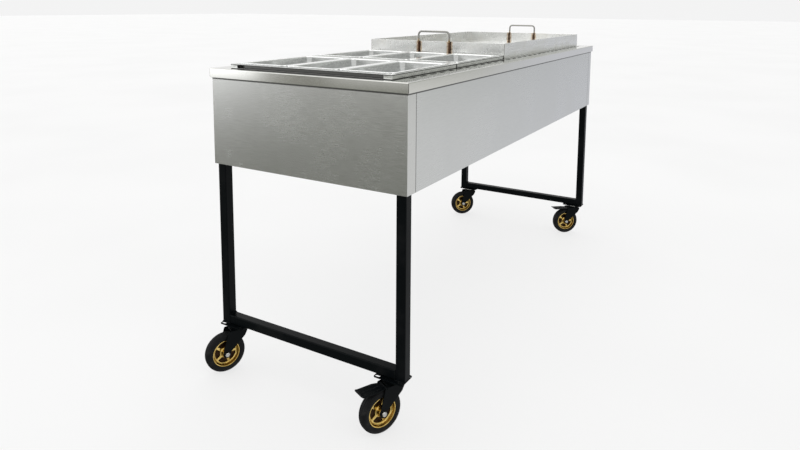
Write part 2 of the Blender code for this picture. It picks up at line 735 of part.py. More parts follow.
def fork_mesh():
    crown_width = 2 * CHEEK_INNER + 0.4 * CHEEK_THICKNESS
    crown_outline = rounded_outline(CROWN_LENGTH, crown_width, CROWN_CORNER)
    crown = lofted(((crown_outline, CROWN_BOTTOM), (crown_outline, CROWN_TOP)))
    middle = (CROWN_BOTTOM + CROWN_TOP) / 2
    cup = rod((0, 0, middle), (0, 0, RACE_BOTTOM - RACE_PLAY), RACE_RADIUS, 16)
    cheeks = []
    for side in (-1, 1):
        faces = sorted((side * CHEEK_INNER, side * (CHEEK_INNER + CHEEK_THICKNESS)))
        cheeks.append(prism(cheek_outline(), 1, *faces))
    reach = CHEEK_INNER + 2 * CHEEK_THICKNESS
    pin_hole = rod(
        (0, 0, KINGPIN_END), (0, 0, RACE_BOTTOM + RACE_PLAY), KINGPIN_RADIUS + PIN_PLAY,
    )
    axle_hole = rod(
        (TRAIL, -reach, WHEEL_RADIUS), (TRAIL, reach, WHEEL_RADIUS), AXLE_RADIUS + GAP,
    )
    trail, height = PEDAL_PIVOT
    pedal_hole = rod((trail, -reach, height), (trail, reach, height), PEDAL_PIN + BORE_PLAY, 6)
    mesh = combine(
        "caster_fork", crown, joined=[*cheeks, cup],
        cutters=[pin_hole, merged([axle_hole, pedal_hole])],
    )
    return smooth(mesh)


def axle_mesh(head_side):
    """Axle bolt about the wheel's centre, with a round head on one side and a nut on the other."""
    outer = CHEEK_INNER + CHEEK_THICKNESS + GAP
    end = outer + AXLE_THREAD
    nut_side = -head_side
    shank = rod((0, -end, 0), (0, end, 0), AXLE_RADIUS)
    head = rod((0, head_side * outer, 0), (0, head_side * (outer + BOLT_HEAD), 0), BOLT_RADIUS)
    nut = rod((0, nut_side * outer, 0), (0, nut_side * (outer + BOLT_NUT), 0), BOLT_RADIUS, 6)
    return combine("axle_bolt", shank, joined=[head, nut])


def tyre_mesh():
    half = TYRE_WIDTH / 2
    near = [(WHEEL_RADIUS - drop, -half + inset) for drop, inset in SHOULDER]
    far = [(radius, -y) for radius, y in reversed(near)]
    profile = [(TYRE_BORE, -half + TYRE_SEAT), *near, *far, (TYRE_BORE, half - TYRE_SEAT)]
    return smooth(to_mesh("tyre", turned(profile, WHEEL_STEPS)))


def hub_mesh():
    """Cast wheel centre: rim, a web with five windows, and a boss with the axle's bore."""
    rim = TYRE_BORE - GAP
    bore = AXLE_RADIUS + BORE_PLAY
    boss_face, boss_root = HUB_BOSS
    rim_root, rim_edge = HUB_RIM
    near = [
        (bore, -HUB_HALF), (boss_face, -HUB_HALF), (boss_root, -HUB_WEB_HALF),
        (rim_root, -HUB_WEB_HALF), (rim_edge, -HUB_RIM_HALF), (rim, -HUB_RIM_HALF),
    ]
    far = [(radius, -y) for radius, y in reversed(near)]
    half_angle = math.radians(WINDOW_HALF_ANGLE)
    inner, outer = WINDOW_RADII
    windows = []
    for index in range(HUB_SPOKES):
        middle = 2 * math.pi * index / HUB_SPOKES
        outline = []
        for radius, order in ((inner, (-WINDOW_TAPER, WINDOW_TAPER)), (outer, (1.0, -1.0))):
            for share in order:
                angle = middle + share * half_angle
                outline.append((radius * math.cos(angle), radius * math.sin(angle)))
        windows.append(prism(outline, 1, -2 * HUB_WEB_HALF, 2 * HUB_WEB_HALF))
    return smooth(combine("hub", turned([*near, *far], WHEEL_STEPS), cutters=[merged(windows)]))


def pedal_mesh():
    """Brake pedal about its pin: a tongue between the cheeks, then a wide plate with a raised tip."""
    reach = PEDAL_TIP - PEDAL_PIVOT[0]
    under = PEDAL_RAISE - PEDAL_PLATE
    curl = [(reach - back, PEDAL_RAISE + rise) for back, rise in PEDAL_CURL]
    side_view = [(PEDAL_BACK, PEDAL_RAISE), *curl, (PEDAL_BACK, under)]
    plate = prism(side_view, 1, -PEDAL_HALF, PEDAL_HALF)
    tongue_half = CHEEK_INNER - 2 * PIN_PLAY
    tongue = box(
        (PEDAL_TONGUE[0], -tongue_half, under), (PEDAL_TONGUE[1], tongue_half, PEDAL_RAISE),
    )
    barrel = rod((0, -tongue_half, 0), (0, tongue_half, 0), PEDAL_BARREL)
    pin_reach = CHEEK_INNER + CHEEK_THICKNESS + 2 * PIN_PLAY
    pin = rod((0, -pin_reach, 0), (0, pin_reach, 0), PEDAL_PIN, 6)
    return smooth(combine("brake_pedal", plate, joined=[tongue, barrel, pin]))


def swivel_place(corner):
    """Swivel axis under a leg: on its middle line, and inboard across the cart."""
    span_x, span_y = leg_spans()[corner]
    inboard = -math.copysign(PLATE_SHIFT, span_y[0])
    return ((span_x[0] + span_x[1]) / 2, (span_y[0] + span_y[1]) / 2 + inboard, 0.0)


def build_casters(palette):
    plate, fork, tyre, hub = caster_plate_mesh(), fork_mesh(), tyre_mesh(), hub_mesh()
    pedal = pedal_mesh()
    for corner, heading in REST_TRAIL.items():
        spot = swivel_place(corner)
        place("caster_plate_" + corner, plate, palette["black_paint"], location=spot)
        swivel = pivot("swivel_" + corner, spot, math.radians(heading))
        place("caster_fork_" + corner, fork, palette["black_paint"], parent=swivel)
        wheel = pivot("wheel_axis_" + corner, (TRAIL, 0, WHEEL_RADIUS), parent=swivel)
        head_side = 1 if corner in BRAKED else -1
        place("axle_bolt_" + corner, axle_mesh(head_side), palette["zinc"], parent=wheel)
        place("tyre_" + corner, tyre, palette["rubber"], parent=wheel)
        place("wheel_hub_" + corner, hub, palette["gold_wheel"], parent=wheel)
        if corner in BRAKED:
            hinge = pivot("pedal_axis_" + corner, (PEDAL_PIVOT[0], 0, PEDAL_PIVOT[1]), parent=swivel)
            place("brake_pedal_" + corner, pedal, palette["black_paint"], parent=hinge)


# ---- assembly -----------------------------------------------------------------------------------
def centre_on_floor():
    """Move the whole cart so that its bounding box stands on the origin."""
    bpy.context.view_layer.update()
    graph = bpy.context.evaluated_depsgraph_get()
    low, high = Vector((1e9, 1e9, 1e9)), Vector((-1e9, -1e9, -1e9))
    for obj in bpy.data.objects:
        if obj.type == "EMPTY":
            continue
        shape = obj.evaluated_get(graph).to_mesh()
        for vert in shape.vertices:
            point = obj.matrix_world @ vert.co
            low = Vector(map(min, low, point))
            high = Vector(map(max, high, point))
    shift = Vector((-(low.x + high.x) / 2, -(low.y + high.y) / 2, -low.z))
    for obj in bpy.data.objects:
        if obj.parent is None:
            obj.location += shift


def main():
    clear_scene()
    palette = make_palette()
    build_deck(palette["stainless"])
    build_end_panels(palette["stainless"])
    build_side_panels(palette["stainless"])
    build_bottom_pan(palette["stainless"])
    build_frame(palette["black_paint"])
    for index in range(len(WELL_START)):
        build_well(index, palette["bright_stainless"])
    build_pans(palette["bright_stainless"])
    build_tray(palette["stainless"])
    build_handles(palette["bright_stainless"])
    build_burners(palette["cast_iron"])
    build_manifold(palette["brass"])
    build_knobs(palette["knob_plastic"])
    build_casters(palette)
    centre_on_floor()


main()
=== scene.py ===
"""Food service cart: visible pieces, materials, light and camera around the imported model.

Metres, +Z up. The steam wells are towards -X, the gas knobs towards +Y. Places and sizes come from
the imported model's boxes and joints; the constants below are the details that it doesn't hold.
"""

import json
import math

import bmesh
import bpy
from mathutils import Matrix, Vector

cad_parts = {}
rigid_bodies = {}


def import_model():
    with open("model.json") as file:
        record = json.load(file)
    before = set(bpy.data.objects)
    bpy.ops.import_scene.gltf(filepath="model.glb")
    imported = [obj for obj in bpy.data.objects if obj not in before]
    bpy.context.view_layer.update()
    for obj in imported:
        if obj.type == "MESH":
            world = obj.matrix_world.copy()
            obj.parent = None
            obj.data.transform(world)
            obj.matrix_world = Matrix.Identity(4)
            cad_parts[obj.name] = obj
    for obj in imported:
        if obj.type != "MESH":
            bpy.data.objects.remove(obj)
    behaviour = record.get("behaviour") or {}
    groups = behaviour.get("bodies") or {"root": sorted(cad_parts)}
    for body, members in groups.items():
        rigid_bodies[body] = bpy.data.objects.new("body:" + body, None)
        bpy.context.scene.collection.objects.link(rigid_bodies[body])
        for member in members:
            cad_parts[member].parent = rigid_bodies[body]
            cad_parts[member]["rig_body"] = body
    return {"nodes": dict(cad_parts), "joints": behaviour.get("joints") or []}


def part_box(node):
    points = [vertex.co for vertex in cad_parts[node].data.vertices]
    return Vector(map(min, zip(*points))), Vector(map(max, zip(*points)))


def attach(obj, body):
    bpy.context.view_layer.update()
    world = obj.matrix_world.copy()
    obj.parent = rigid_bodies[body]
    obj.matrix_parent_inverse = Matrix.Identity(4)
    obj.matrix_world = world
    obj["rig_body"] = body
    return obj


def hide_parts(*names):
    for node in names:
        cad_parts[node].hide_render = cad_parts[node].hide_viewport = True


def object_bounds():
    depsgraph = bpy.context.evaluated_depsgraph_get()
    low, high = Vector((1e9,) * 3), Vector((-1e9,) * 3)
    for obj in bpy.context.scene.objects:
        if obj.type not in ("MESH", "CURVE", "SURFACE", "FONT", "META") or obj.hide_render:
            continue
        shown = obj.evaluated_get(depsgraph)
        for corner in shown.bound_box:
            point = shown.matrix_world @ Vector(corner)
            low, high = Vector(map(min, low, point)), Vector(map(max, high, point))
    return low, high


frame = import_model()
CAD_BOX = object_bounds()
NODES = frame["nodes"]
JOINTS = {joint["name"]: joint for joint in frame["joints"]}
CORNERS = ("near_front", "near_back", "far_back", "far_front")
BURNERS = ("well_1", "well_2", "griddle_1", "griddle_2")

# ---- camera, measured from the deck's near front corner ------------------------------------------
CAMERA_OFFSET = (-1.3159, -0.7438, 0.1808)
CAMERA_HEADING = 30.27          # degrees from +X towards +Y
CAMERA_PITCH = -7.24
CAMERA_ROLL = 0.34
CAMERA_LENS = 28.86
CAMERA_SHIFT = -0.1719

# ---- sheet metal ---------------------------------------------------------------------------------
DECK_SHEET = 0.002
DECK_BEND = 0.0024              # outside radius of the deck's folded edge
DECK_CORNER = 0.0012            # plan radius at the rim's ground welds
BATH_EASE = 0.001
OPENING_CORNER = 0.004
TRAY_REST = 0.035
VENT_LENGTH = 0.034
VENT_WIDTH = 0.009
VENT_PITCH = 0.056
VENT_COUNT = 29
VENT_LINE = 0.287               # from the cart's middle line to a row of vents
RIM_BEAD = 0.0008
PANEL_EDGE = 0.0007              # radius of a panel's folds
WELL_EDGE = 0.0007
RECESS_DEPTH = 0.014
RECESS_HALF = 0.2455
TRAY_EDGE = 0.0008
TRAY_BEAD = 0.0010

# ---- food pans -----------------------------------------------------------------------------------
PAN_FLANGE = 0.0115
PAN_CORNER = 0.018
PAN_STEEL = 0.0009
PAN_TAPER = 0.0090
PAN_FLOOR_RADIUS = 0.012
PAN_SHOULDER_DEPTH = 0.021      # where the stacking step is, below the flange
PAN_SHOULDER = 0.0016
PAN_MOUTH_RADIUS = 0.0030

# ---- frame and welds -----------------------------------------------------------------------------
TUBE_CORNER = 0.0032
TUBE_WALL = 0.0015
FRAME_BEAD = 0.0014
HANDLE_BEND = 0.013
HANDLE_BEAD = 0.0016
RIPPLE_PITCH = 0.0022

# ---- gas system ----------------------------------------------------------------------------------
CASTING_EDGE = 0.0006
KNOB_FLUTES = 12
FLUTE_DEPTH = 0.0007
KNOB_SKIRT = (                  # radii and heights, as shares of the knob's radius and depth
    (0.98, 0.0), (1.0, 0.08), (0.98, 0.36), (0.90, 0.46), (0.80, 0.50),
)
KNOB_GRIP = ((0.45, 1.0), (0.80, 0.92), (0.94, 0.84), (1.0, 0.66))

# ---- casters -------------------------------------------------------------------------------------
WHEEL_STEPS = 96
RIB_DEPTH = 0.0009              # of the fine ribs round a tyre's shoulders
SPOKES = 5
RIM_DEPTH = 0.0082              # from the wheel centre's outside in to its web
RIM_PROFILE = (                 # how far in, and how far out sideways as a share of the half width
    (0.0, 0.0), (0.0, 0.69), (0.0006, 0.80), (0.0024, 0.80), (0.0036, 0.69), (0.0044, 0.44),
    (0.0066, 0.27), (0.0084, 0.24), (0.0088, 0.0),
)
BORE = 0.0074
BOSS_RADIUS = 0.0128
BOSS_PROFILE = ((0.0150, 0.27), (BOSS_RADIUS, 0.35), (0.0122, 0.93), (0.0112, 1.0), (BORE, 1.0))
WEB_SHARE = 0.24                # web thickness and pocket floor, as shares of the wheel's width
POCKET_SHARE = 0.06
WEB_OPENING = 0.010
WEB_EDGE = 0.0009
WINDOW_INNER = 0.0162           # from the wheel's centre to its windows
WINDOW_GAP = 0.0004
WINDOW_SPREAD = (23.0, 30.5)    # half of a window's angle, at its inner and outer ends
WINDOW_EASE = 0.0016
CHEEK = 0.0025                  # fork steel
CHEEK_CORNER = 0.004
CHEEK_SHOULDER = 0.006
PRESSED_EDGE = 0.0007
CROWN_LENGTH = 0.049
CROWN_CORNER = 0.010
CUP_RADIUS = 0.0210
CUP_BORE = 0.0066
CUP_HEIGHT = 0.0050
SHANK = 0.0038
BOLT_FACE = 0.0213              # from the wheel's middle to the washer faces
BOLT_HEAD = (0.0072, 0.0045)    # radius and height
BOLT_DOME = ((1.0, 0.0), (1.0, 0.27), (0.97, 0.58), (0.80, 0.91), (0.35, 1.0))
BOLT_THREAD = 0.0039
THREAD_PITCH = 0.0008
THREAD_TURNS = 7
NUT_HEIGHT = 0.0049
PEDAL_STEEL = 0.0018
PEDAL_HALF = 0.0215             # half the foot pedal's width
PEDAL_START = 0.0095            # from its pin to its pressed plate
PEDAL_CURL = 0.0030
PEDAL_RIB = 0.0006
PEDAL_CORNER = 0.006
PEDAL_COLUMNS = 30
PEDAL_ROWS = 24
PEDAL_TONGUE = 0.016
PEDAL_BARREL = (0.0028, 0.0175)  # radius and half length
PEDAL_PIN = (0.0019, 0.0220)
PLATE_STEEL = 0.003
PLATE_SLOT = (0.0084, 0.0154, 0.0041)
PLATE_HOLES = (0.0185, 0.0345)  # half the spacing of the slots, along X and Y
RACE_RADIUS = 0.0210
RIVET_RADIUS = 0.0058
SOLID_CORE = 0.0004             # radius where the outlines of solid turned pieces stop

GRAIN_X, GRAIN_Y, GRAIN_Z = range(3)
SHARP_ANGLE = 38.0              # degrees; sharper edges stay unsmoothed
PAN_SHARP_ANGLE = 60.0
WELDED_FACETS = 0.00002         # packed facets' corners closer than this are one
WHEEL_BEARING_BORE = 0.0043

# ---- painted shade: depth of tone, and the bands that it fills --------------------------------------
FINE_SHARE = 0.85               # how much of a brushed tone is its fine grain, not its streaks
PAINTED_SHADE_COLOUR = (0.030, 0.029, 0.027)
PANEL_SHADE_DEPTH = 0.85
VENT_SHADE_DEPTH = 0.95
WELL_SHADE_DEPTH = 0.88

# ---- studio: patches of light and shade, each with the range of azimuths and of elevations it
# ---- fills, the width of its soft edge, all in degrees, and its colour
LIGHT_PATCHES = (
    ((138.0, 225.0), (-95.0, -6.2), 4.6, (0.25, 0.255, 0.215)),
    ((137.5, 143.5), (-9.0, 4.0), 2.5, (0.32, 0.32, 0.29)),
    ((80.0, 225.0), (-95.0, -9.0), 5.0, (0.25, 0.255, 0.23)),
    ((84.0, 137.0), (-6.0, 34.0), 1.2, (2.05, 2.06, 2.10)),
    ((138.0, 172.0), (8.0, 40.0), 4.0, (1.8, 1.8, 1.8)),
    ((-62.0, -21.0), (-6.0, 40.0), 5.0, (0.52, 0.53, 0.50)),
    ((-21.0, 10.0), (-6.0, 40.0), 5.0, (0.66, 0.67, 0.66)),
    ((-21.0, 10.0), (-95.0, -1.0), 7.0, (0.72, 0.73, 0.79)),
)
FLOOR_GLOW = 0.72                # the lit white sheet under the cart
BACKDROP = (0.90, 0.90, 0.90)
SKY_LOW = (0.86, 0.86, 0.86)
SKY_HIGH = (1.05, 1.05, 1.04)
FLOOR_HALF = 60.0
AREA_LIGHTS = (                 # name, place from the cart's middle, size and power in watts
    ("key", (-1.6, -2.2, 2.6), (2.4, 1.6), 14.0),
    ("top", (0.2, 0.4, 2.8), (3.0, 2.0), 12.0),
)
SENSOR_WIDTH = 36.0
VIEW_END = 200.0


# ---- shader helpers ------------------------------------------------------------------------------
class Graph:
    """A material's node tree, with short ways to add and join nodes."""

    def __init__(self, owner):
        self.nodes = owner.node_tree.nodes
        self.links = owner.node_tree.links

    def add(self, kind, **settings):
        node = self.nodes.new(kind)
        for key, value in settings.items():
            setattr(node, key, value)
        return node

    def feed(self, socket, value):
        if isinstance(value, bpy.types.NodeSocket):
            self.links.new(value, socket)
        else:
            socket.default_value = value

    def maths(self, operation, *values, clamp=False):
        node = self.add("ShaderNodeMath", operation=operation, use_clamp=clamp)
        for socket, value in zip(node.inputs, values):
            self.feed(socket, value)
        return node.outputs[0]

    def place(self, scale=(1.0, 1.0, 1.0)):
        """Object coordinates in metres, stretched along each axis."""
        source = self.add("ShaderNodeTexCoord")
        mapping = self.add("ShaderNodeMapping")
        mapping.inputs["Scale"].default_value = scale
        self.links.new(source.outputs["Object"], mapping.inputs["Vector"])
        return mapping.outputs[0]

    def noise(self, vector, scale, detail=3.0, roughness=0.55):
        node = self.add("ShaderNodeTexNoise")
        self.feed(node.inputs["Vector"], vector)
        node.inputs["Scale"].default_value = scale
        node.inputs["Detail"].default_value = detail
        node.inputs["Roughness"].default_value = roughness
        return node.outputs["Fac"]

    def span(self, value, start, end, low=0.0, high=1.0):
        """Carry value from start..end to low..high, held at both ends, smoothly."""
        node = self.add("ShaderNodeMapRange", interpolation_type="SMOOTHSTEP")
        for socket, number in zip(node.inputs, (value, start, end, low, high)):
            self.feed(socket, number)
        return node.outputs[0]

    def blend(self, factor, first, second):
        node = self.add("ShaderNodeMix", data_type="RGBA")
        self.feed(node.inputs["Factor"], factor)
        for key, colour in (("A", first), ("B", second)):
            socket = next(s for s in node.inputs if s.name == key and s.type == "RGBA")
            self.feed(socket, (*colour, 1.0) if isinstance(colour, tuple) else colour)
        return next(s for s in node.outputs if s.type == "RGBA")

    def bump(self, height, strength, distance, under=None):
        node = self.add("ShaderNodeBump")
        node.inputs["Strength"].default_value = strength
        node.inputs["Distance"].default_value = distance
        self.feed(node.inputs["Height"], height)
        if under is not None:
            self.links.new(under, node.inputs["Normal"])
        return node.outputs[0]

    def axis(self, vector, index):
        node = self.add("ShaderNodeSeparateXYZ")
        self.links.new(vector, node.inputs[0])
        return node.outputs[index]


def new_material(name, metallic=0.0):
    """A new material with its graph and its shader."""
    material = bpy.data.materials.new(name)
    material.use_nodes = True
    graph = Graph(material)
    shader = graph.nodes["Principled BSDF"]
    shader.inputs["Metallic"].default_value = metallic
    return material, graph, shader


def dress(graph, shader, colour, roughness, normal):
    """Join a material's colour, roughness and relief to its shader."""
    for key, value in (("Base Color", colour), ("Roughness", roughness), ("Normal", normal)):
        graph.feed(shader.inputs[key], value)


def along_grain(grain, along, across):
    """Noise scales for a grain that runs along one axis."""
    return tuple(along if axis == grain else across for axis in range(3))


# ---- materials -----------------------------------------------------------------------------------
def brushed_steel(name, grain, colour, roughness, contrast=1.0, darkening=None):
    """Sheet with a brushed grain, broad rolling streaks and faint wiping smears. darkening(graph, place)
    gives where painted shade darkens it: the shadow line under a rim, gaps at seams, vents and recesses."""
    material, graph, shader = new_material(name, 1.0)
    place = graph.place()
    fine = graph.noise(graph.place(along_grain(grain, 30.0, 400.0)), 1.0, 3.0, 0.6)
    streaks = graph.noise(graph.place(along_grain(grain, 1.5, 40.0)), 1.0, 3.0)
    smears = graph.noise(place, 3.1, 4.0, 0.6)
    tone = graph.maths(
        "ADD", graph.maths("MULTIPLY", fine, FINE_SHARE), graph.maths("MULTIPLY", streaks, 1.0 - FINE_SHARE),
    )
    shade = 0.035 * contrast
    dark = tuple(value * (1.0 - shade) for value in colour)
    light = tuple(min(value * (1.0 + shade), 0.95) for value in colour)
    tint = graph.blend(graph.span(tone, 0.34, 0.66), dark, light)
    if darkening:
        # painted shade: the mask blends the sheet towards a near-black shade colour
        tint = graph.blend(darkening(graph, place), tint, PAINTED_SHADE_COLOUR)
    worn = graph.maths("MULTIPLY", graph.span(smears, 0.35, 0.68), 0.04)
    rough = graph.maths("ADD", graph.span(fine, 0.3, 0.7, roughness - 0.02, roughness + 0.02), worn)
    scratches = graph.bump(streaks, 0.03 * contrast, 0.0004)
    waves = graph.noise(place, 5.5, 1.0)
    dress(graph, shader, tint, rough, graph.bump(waves, 0.04, 0.0012, scratches))
    return material


def near_any(graph, value, marks):
    """Distance from a coordinate to the nearest of several marks."""
    gaps = [graph.maths("ABSOLUTE", graph.maths("SUBTRACT", value, mark)) for mark in marks]
    nearest = gaps[0]
    for gap in gaps[1:]:
        nearest = graph.maths("MINIMUM", nearest, gap)
    return nearest


def panel_painted_shade(rim_foot, seams):
    """Painted shade: the shadow line under the rim, and dark gaps along the seams between panels."""
    def darkening(graph, place):
        under = graph.span(graph.axis(place, 2), rim_foot - 0.0052, rim_foot - 0.0040)
        beside = graph.span(near_any(graph, graph.axis(place, 0), seams), 0.0009, 0.0016, 1.0, 0.0)
        return graph.maths("MULTIPLY", graph.maths("MAXIMUM", under, beside), PANEL_SHADE_DEPTH)
    return darkening


def vent_painted_shade(top, ends, lines):
    """Painted shade on the cut edges of the vents, which are the only faces below the deck's top along them.
    """
    def darkening(graph, place):
        from_end = near_any(graph, graph.axis(place, 0), ends)
        inboard = graph.maths("GREATER_THAN", from_end, VENT_LENGTH / 2)
        along = near_any(graph, graph.axis(place, 1), lines)
        band = graph.span(along, VENT_WIDTH / 2 + 0.0004, VENT_WIDTH / 2 + 0.0008, 1.0, 0.0)
        cut_edge = graph.span(graph.axis(place, 2), top - 0.0003, top - 0.0001, 1.0, 0.0)
        vent_shade_mask = graph.maths("MULTIPLY", graph.maths("MULTIPLY", band, cut_edge), inboard)
        return graph.maths("MULTIPLY", vent_shade_mask, VENT_SHADE_DEPTH)
    return darkening


def well_painted_shade(ends, middle, top, deck_top):
    """Painted shade in the pockets at the ends of a well frame, under the pans' flanges round its top, and
    at its foot.
    """
    def darkening(graph, place):
        depth = near_any(graph, graph.axis(place, 0), ends)
        inside = graph.maths("MULTIPLY", graph.span(depth, 0.0008, 0.0016),
                             graph.span(depth, RECESS_DEPTH + 0.001, RECESS_DEPTH + 0.002, 1.0, 0.0))
        aside = near_any(graph, graph.axis(place, 1), (middle,))
        within = graph.span(aside, RECESS_HALF, RECESS_HALF + 0.001, 1.0, 0.0)
        pocket = graph.maths("MULTIPLY", inside, within)
        height = graph.axis(place, 2)
        ledge = graph.maths("MULTIPLY", graph.span(height, top - 0.0032, top - 0.0026),
                            graph.span(height, top - 0.0009, top - 0.0005, 1.0, 0.0))
        foot = graph.span(height, deck_top + 0.0016, deck_top + 0.0026, 1.0, 0.0)
        marks = graph.maths("MAXIMUM", graph.maths("MAXIMUM", pocket, ledge), foot)
        return graph.maths("MULTIPLY", marks, WELL_SHADE_DEPTH)
    return darkening


def pan_steel(top):
    """Bright pressed steel with no single grain, with painted light: a painted highlight on the flanges,
    painted shade on the walls below.
    """
    material, graph, shader = new_material("pan_steel", 1.0)
    place = graph.place()
    scuffs = graph.noise(graph.place((90.0, 40.0, 360.0)), 1.0, 3.0, 0.6)
    clouds = graph.noise(place, 14.0, 3.0)
    tone = graph.span(scuffs, 0.35, 0.65)
    # painted highlight on the flange tops, painted shade on the walls below them
    flange_highlight = graph.span(graph.axis(place, 2), top - 0.0040, top - 0.0012)
    shaded_wall_tone = graph.blend(tone, (0.50, 0.51, 0.50), (0.60, 0.61, 0.60))
    lit_flange_tone = graph.blend(tone, (0.84, 0.85, 0.84), (0.93, 0.94, 0.93))
    colour = graph.blend(flange_highlight, shaded_wall_tone, lit_flange_tone)
    rough = graph.maths(
        "ADD", graph.span(scuffs, 0.3, 0.7, 0.10, 0.17), graph.span(clouds, 0.4, 0.7, 0.0, 0.06),
    )
    dress(graph, shader, colour, rough, graph.bump(scuffs, 0.04, 0.0003))
    return material


def tray_steel(walls, legs):
    """Heavier plate of the griddle tray, tinted straw and brown where the handles are welded."""
    material, graph, shader = new_material("tray_steel", 1.0)
    place = graph.place()
    fine = graph.noise(graph.place(along_grain(GRAIN_X, 8.0, 260.0)), 1.0, 2.0, 0.6)
    stains = graph.noise(place, 9.0, 5.0, 0.6)
    plain = graph.blend(graph.span(fine, 0.3, 0.7), (0.68, 0.685, 0.67), (0.80, 0.805, 0.79))
    worn = graph.blend(graph.span(stains, 0.50, 0.74, 0.0, 0.5), plain, (0.62, 0.60, 0.54))
    x, y = graph.axis(place, 0), graph.axis(place, 1)
    near_wall = near_any(graph, x, walls)
    near_leg = near_any(graph, y, legs)
    ragged = graph.maths("ADD", near_leg, graph.span(graph.noise(place, 160.0), 0.3, 0.7, -0.002, 0.002))
    close = graph.span(near_wall, 0.004, 0.006, 1.0, 0.0)
    straw = graph.maths("MULTIPLY", close, graph.span(ragged, 0.006, 0.016, 0.75, 0.0))
    brown = graph.maths("MULTIPLY", close, graph.span(ragged, 0.003, 0.008, 0.95, 0.0))
    tinted = graph.blend(brown, graph.blend(straw, worn, (0.48, 0.32, 0.16)), (0.045, 0.026, 0.018))
    rough = graph.span(stains, 0.3, 0.7, 0.22, 0.34)
    dress(graph, shader, tinted, rough, graph.bump(fine, 0.03, 0.0004))
    return material


def heat_tinted_wire(top):
    """Bright wire, browned by welding below the tray wall's top edge."""
    material, graph, shader = new_material("heat_tinted_wire", 1.0)
    place = graph.place()
    height = graph.axis(place, 2)
    ragged = graph.maths("ADD", height, graph.span(graph.noise(place, 220.0), 0.3, 0.7, -0.002, 0.002))
    brown = graph.span(ragged, top - 0.006, top + 0.004, 1.0, 0.0)
    straw = graph.span(ragged, top, top + 0.012, 1.0, 0.0)
    wire = graph.blend(straw, (0.27, 0.265, 0.25), (0.34, 0.24, 0.13))
    colour = graph.blend(brown, wire, (0.12, 0.065, 0.04))
    lines = graph.noise(graph.place((700.0, 40.0, 40.0)), 1.0, 3.0)
    rough = graph.span(lines, 0.3, 0.7, 0.18, 0.30)
    dress(graph, shader, colour, rough, graph.bump(lines, 0.06, 0.0002))
    return material


def weld_metal(name, colour, roughness):
    """Rippled bead, darker in its hollows."""
    material, graph, shader = new_material(name, 1.0)
    spots = graph.noise(graph.place(), 420.0, 3.0, 0.6)
    dark = tuple(value * 0.45 for value in colour)
    tint = graph.blend(graph.span(spots, 0.35, 0.6), dark, colour)
    rough = graph.span(spots, 0.3, 0.7, roughness - 0.08, roughness + 0.12)
    dress(graph, shader, tint, rough, graph.bump(spots, 0.3, 0.0004))
    return material


def black_paint():
    """Semi-gloss paint: fine orange peel, a little dust and rubbed, greyer patches."""
    material, graph, shader = new_material("black_paint")
    place = graph.place()
    rubbed = graph.noise(place, 11.0, 5.0, 0.65)
    dust = graph.noise(place, 90.0, 3.0, 0.7)
    tone = graph.blend(graph.span(rubbed, 0.5, 0.75), (0.0018, 0.0026, 0.0031), (0.0045, 0.0052, 0.0056))
    colour = graph.blend(graph.span(dust, 0.62, 0.85, 0.0, 0.20), tone, (0.03, 0.03, 0.029))
    shader.inputs["Specular IOR Level"].default_value = 0.06
    rough = graph.span(rubbed, 0.35, 0.7, 0.27, 0.42)
    dress(graph, shader, colour, rough, graph.bump(graph.noise(place, 700.0, 1.0), 0.08, 0.0003))
    return material


def rubber():
    """Solid tyre: matt black, with road dust worn into the tread and shoulders."""
    material, graph, shader = new_material("rubber")
    place = graph.place()
    dirt = graph.noise(place, 45.0, 5.0, 0.7)
    colour = graph.blend(graph.span(dirt, 0.45, 0.75), (0.0055, 0.0058, 0.0062), (0.018, 0.0175, 0.0165))
    shader.inputs["Specular IOR Level"].default_value = 0.10
    rough = graph.span(dirt, 0.3, 0.7, 0.50, 0.72)
    dress(graph, shader, colour, rough, graph.bump(graph.noise(place, 900.0, 2.0), 0.25, 0.0003))
    return material


def gold_wheel():
    """Gold-sprayed pressing: slightly uneven, duller and browner where dust gathers."""
    material, graph, shader = new_material("gold_wheel", 1.0)
    place = graph.place()
    patches = graph.noise(place, 60.0, 4.0, 0.6)
    gold = graph.blend(graph.span(patches, 0.35, 0.7), (0.74, 0.55, 0.19), (0.44, 0.30, 0.08))
    darkening = graph.noise(place, 240.0, 2.0)
    colour = graph.blend(graph.span(darkening, 0.62, 0.8, 0.0, 0.6), gold, (0.12, 0.08, 0.03))
    rough = graph.span(patches, 0.3, 0.7, 0.14, 0.28)
    dress(graph, shader, colour, rough, graph.bump(graph.noise(place, 500.0, 1.0), 0.08, 0.0002))
    return material


def spotted_metal(name, light, dark, roughness, scale, relief):
    """Zinc, brass or iron: a mottled metal with a fine cast or plated texture."""
    material, graph, shader = new_material(name, 1.0)
    place = graph.place()
    spots = graph.noise(place, scale, 4.0, 0.6)
    colour = graph.blend(graph.span(spots, 0.35, 0.7), light, dark)
    rough = graph.span(spots, 0.3, 0.7, roughness - 0.07, roughness + 0.09)
    dress(graph, shader, colour, rough, graph.bump(graph.noise(place, scale * 4.0, 2.0), relief, 0.0004))
    return material


def knob_plastic(name, colour, roughness):
    """Moulded plastic, paler where it is worn."""
    material, graph, shader = new_material(name)
    place = graph.place()
    wear = graph.noise(place, 70.0, 4.0)
    worn = tuple(value * 1.8 + 0.004 for value in colour)
    tint = graph.blend(graph.span(wear, 0.5, 0.75), colour, worn)
    rough = graph.span(wear, 0.3, 0.7, roughness, roughness + 0.12)
    dress(graph, shader, tint, rough, graph.bump(graph.noise(place, 1500.0, 1.0), 0.12, 0.0002))
    return material


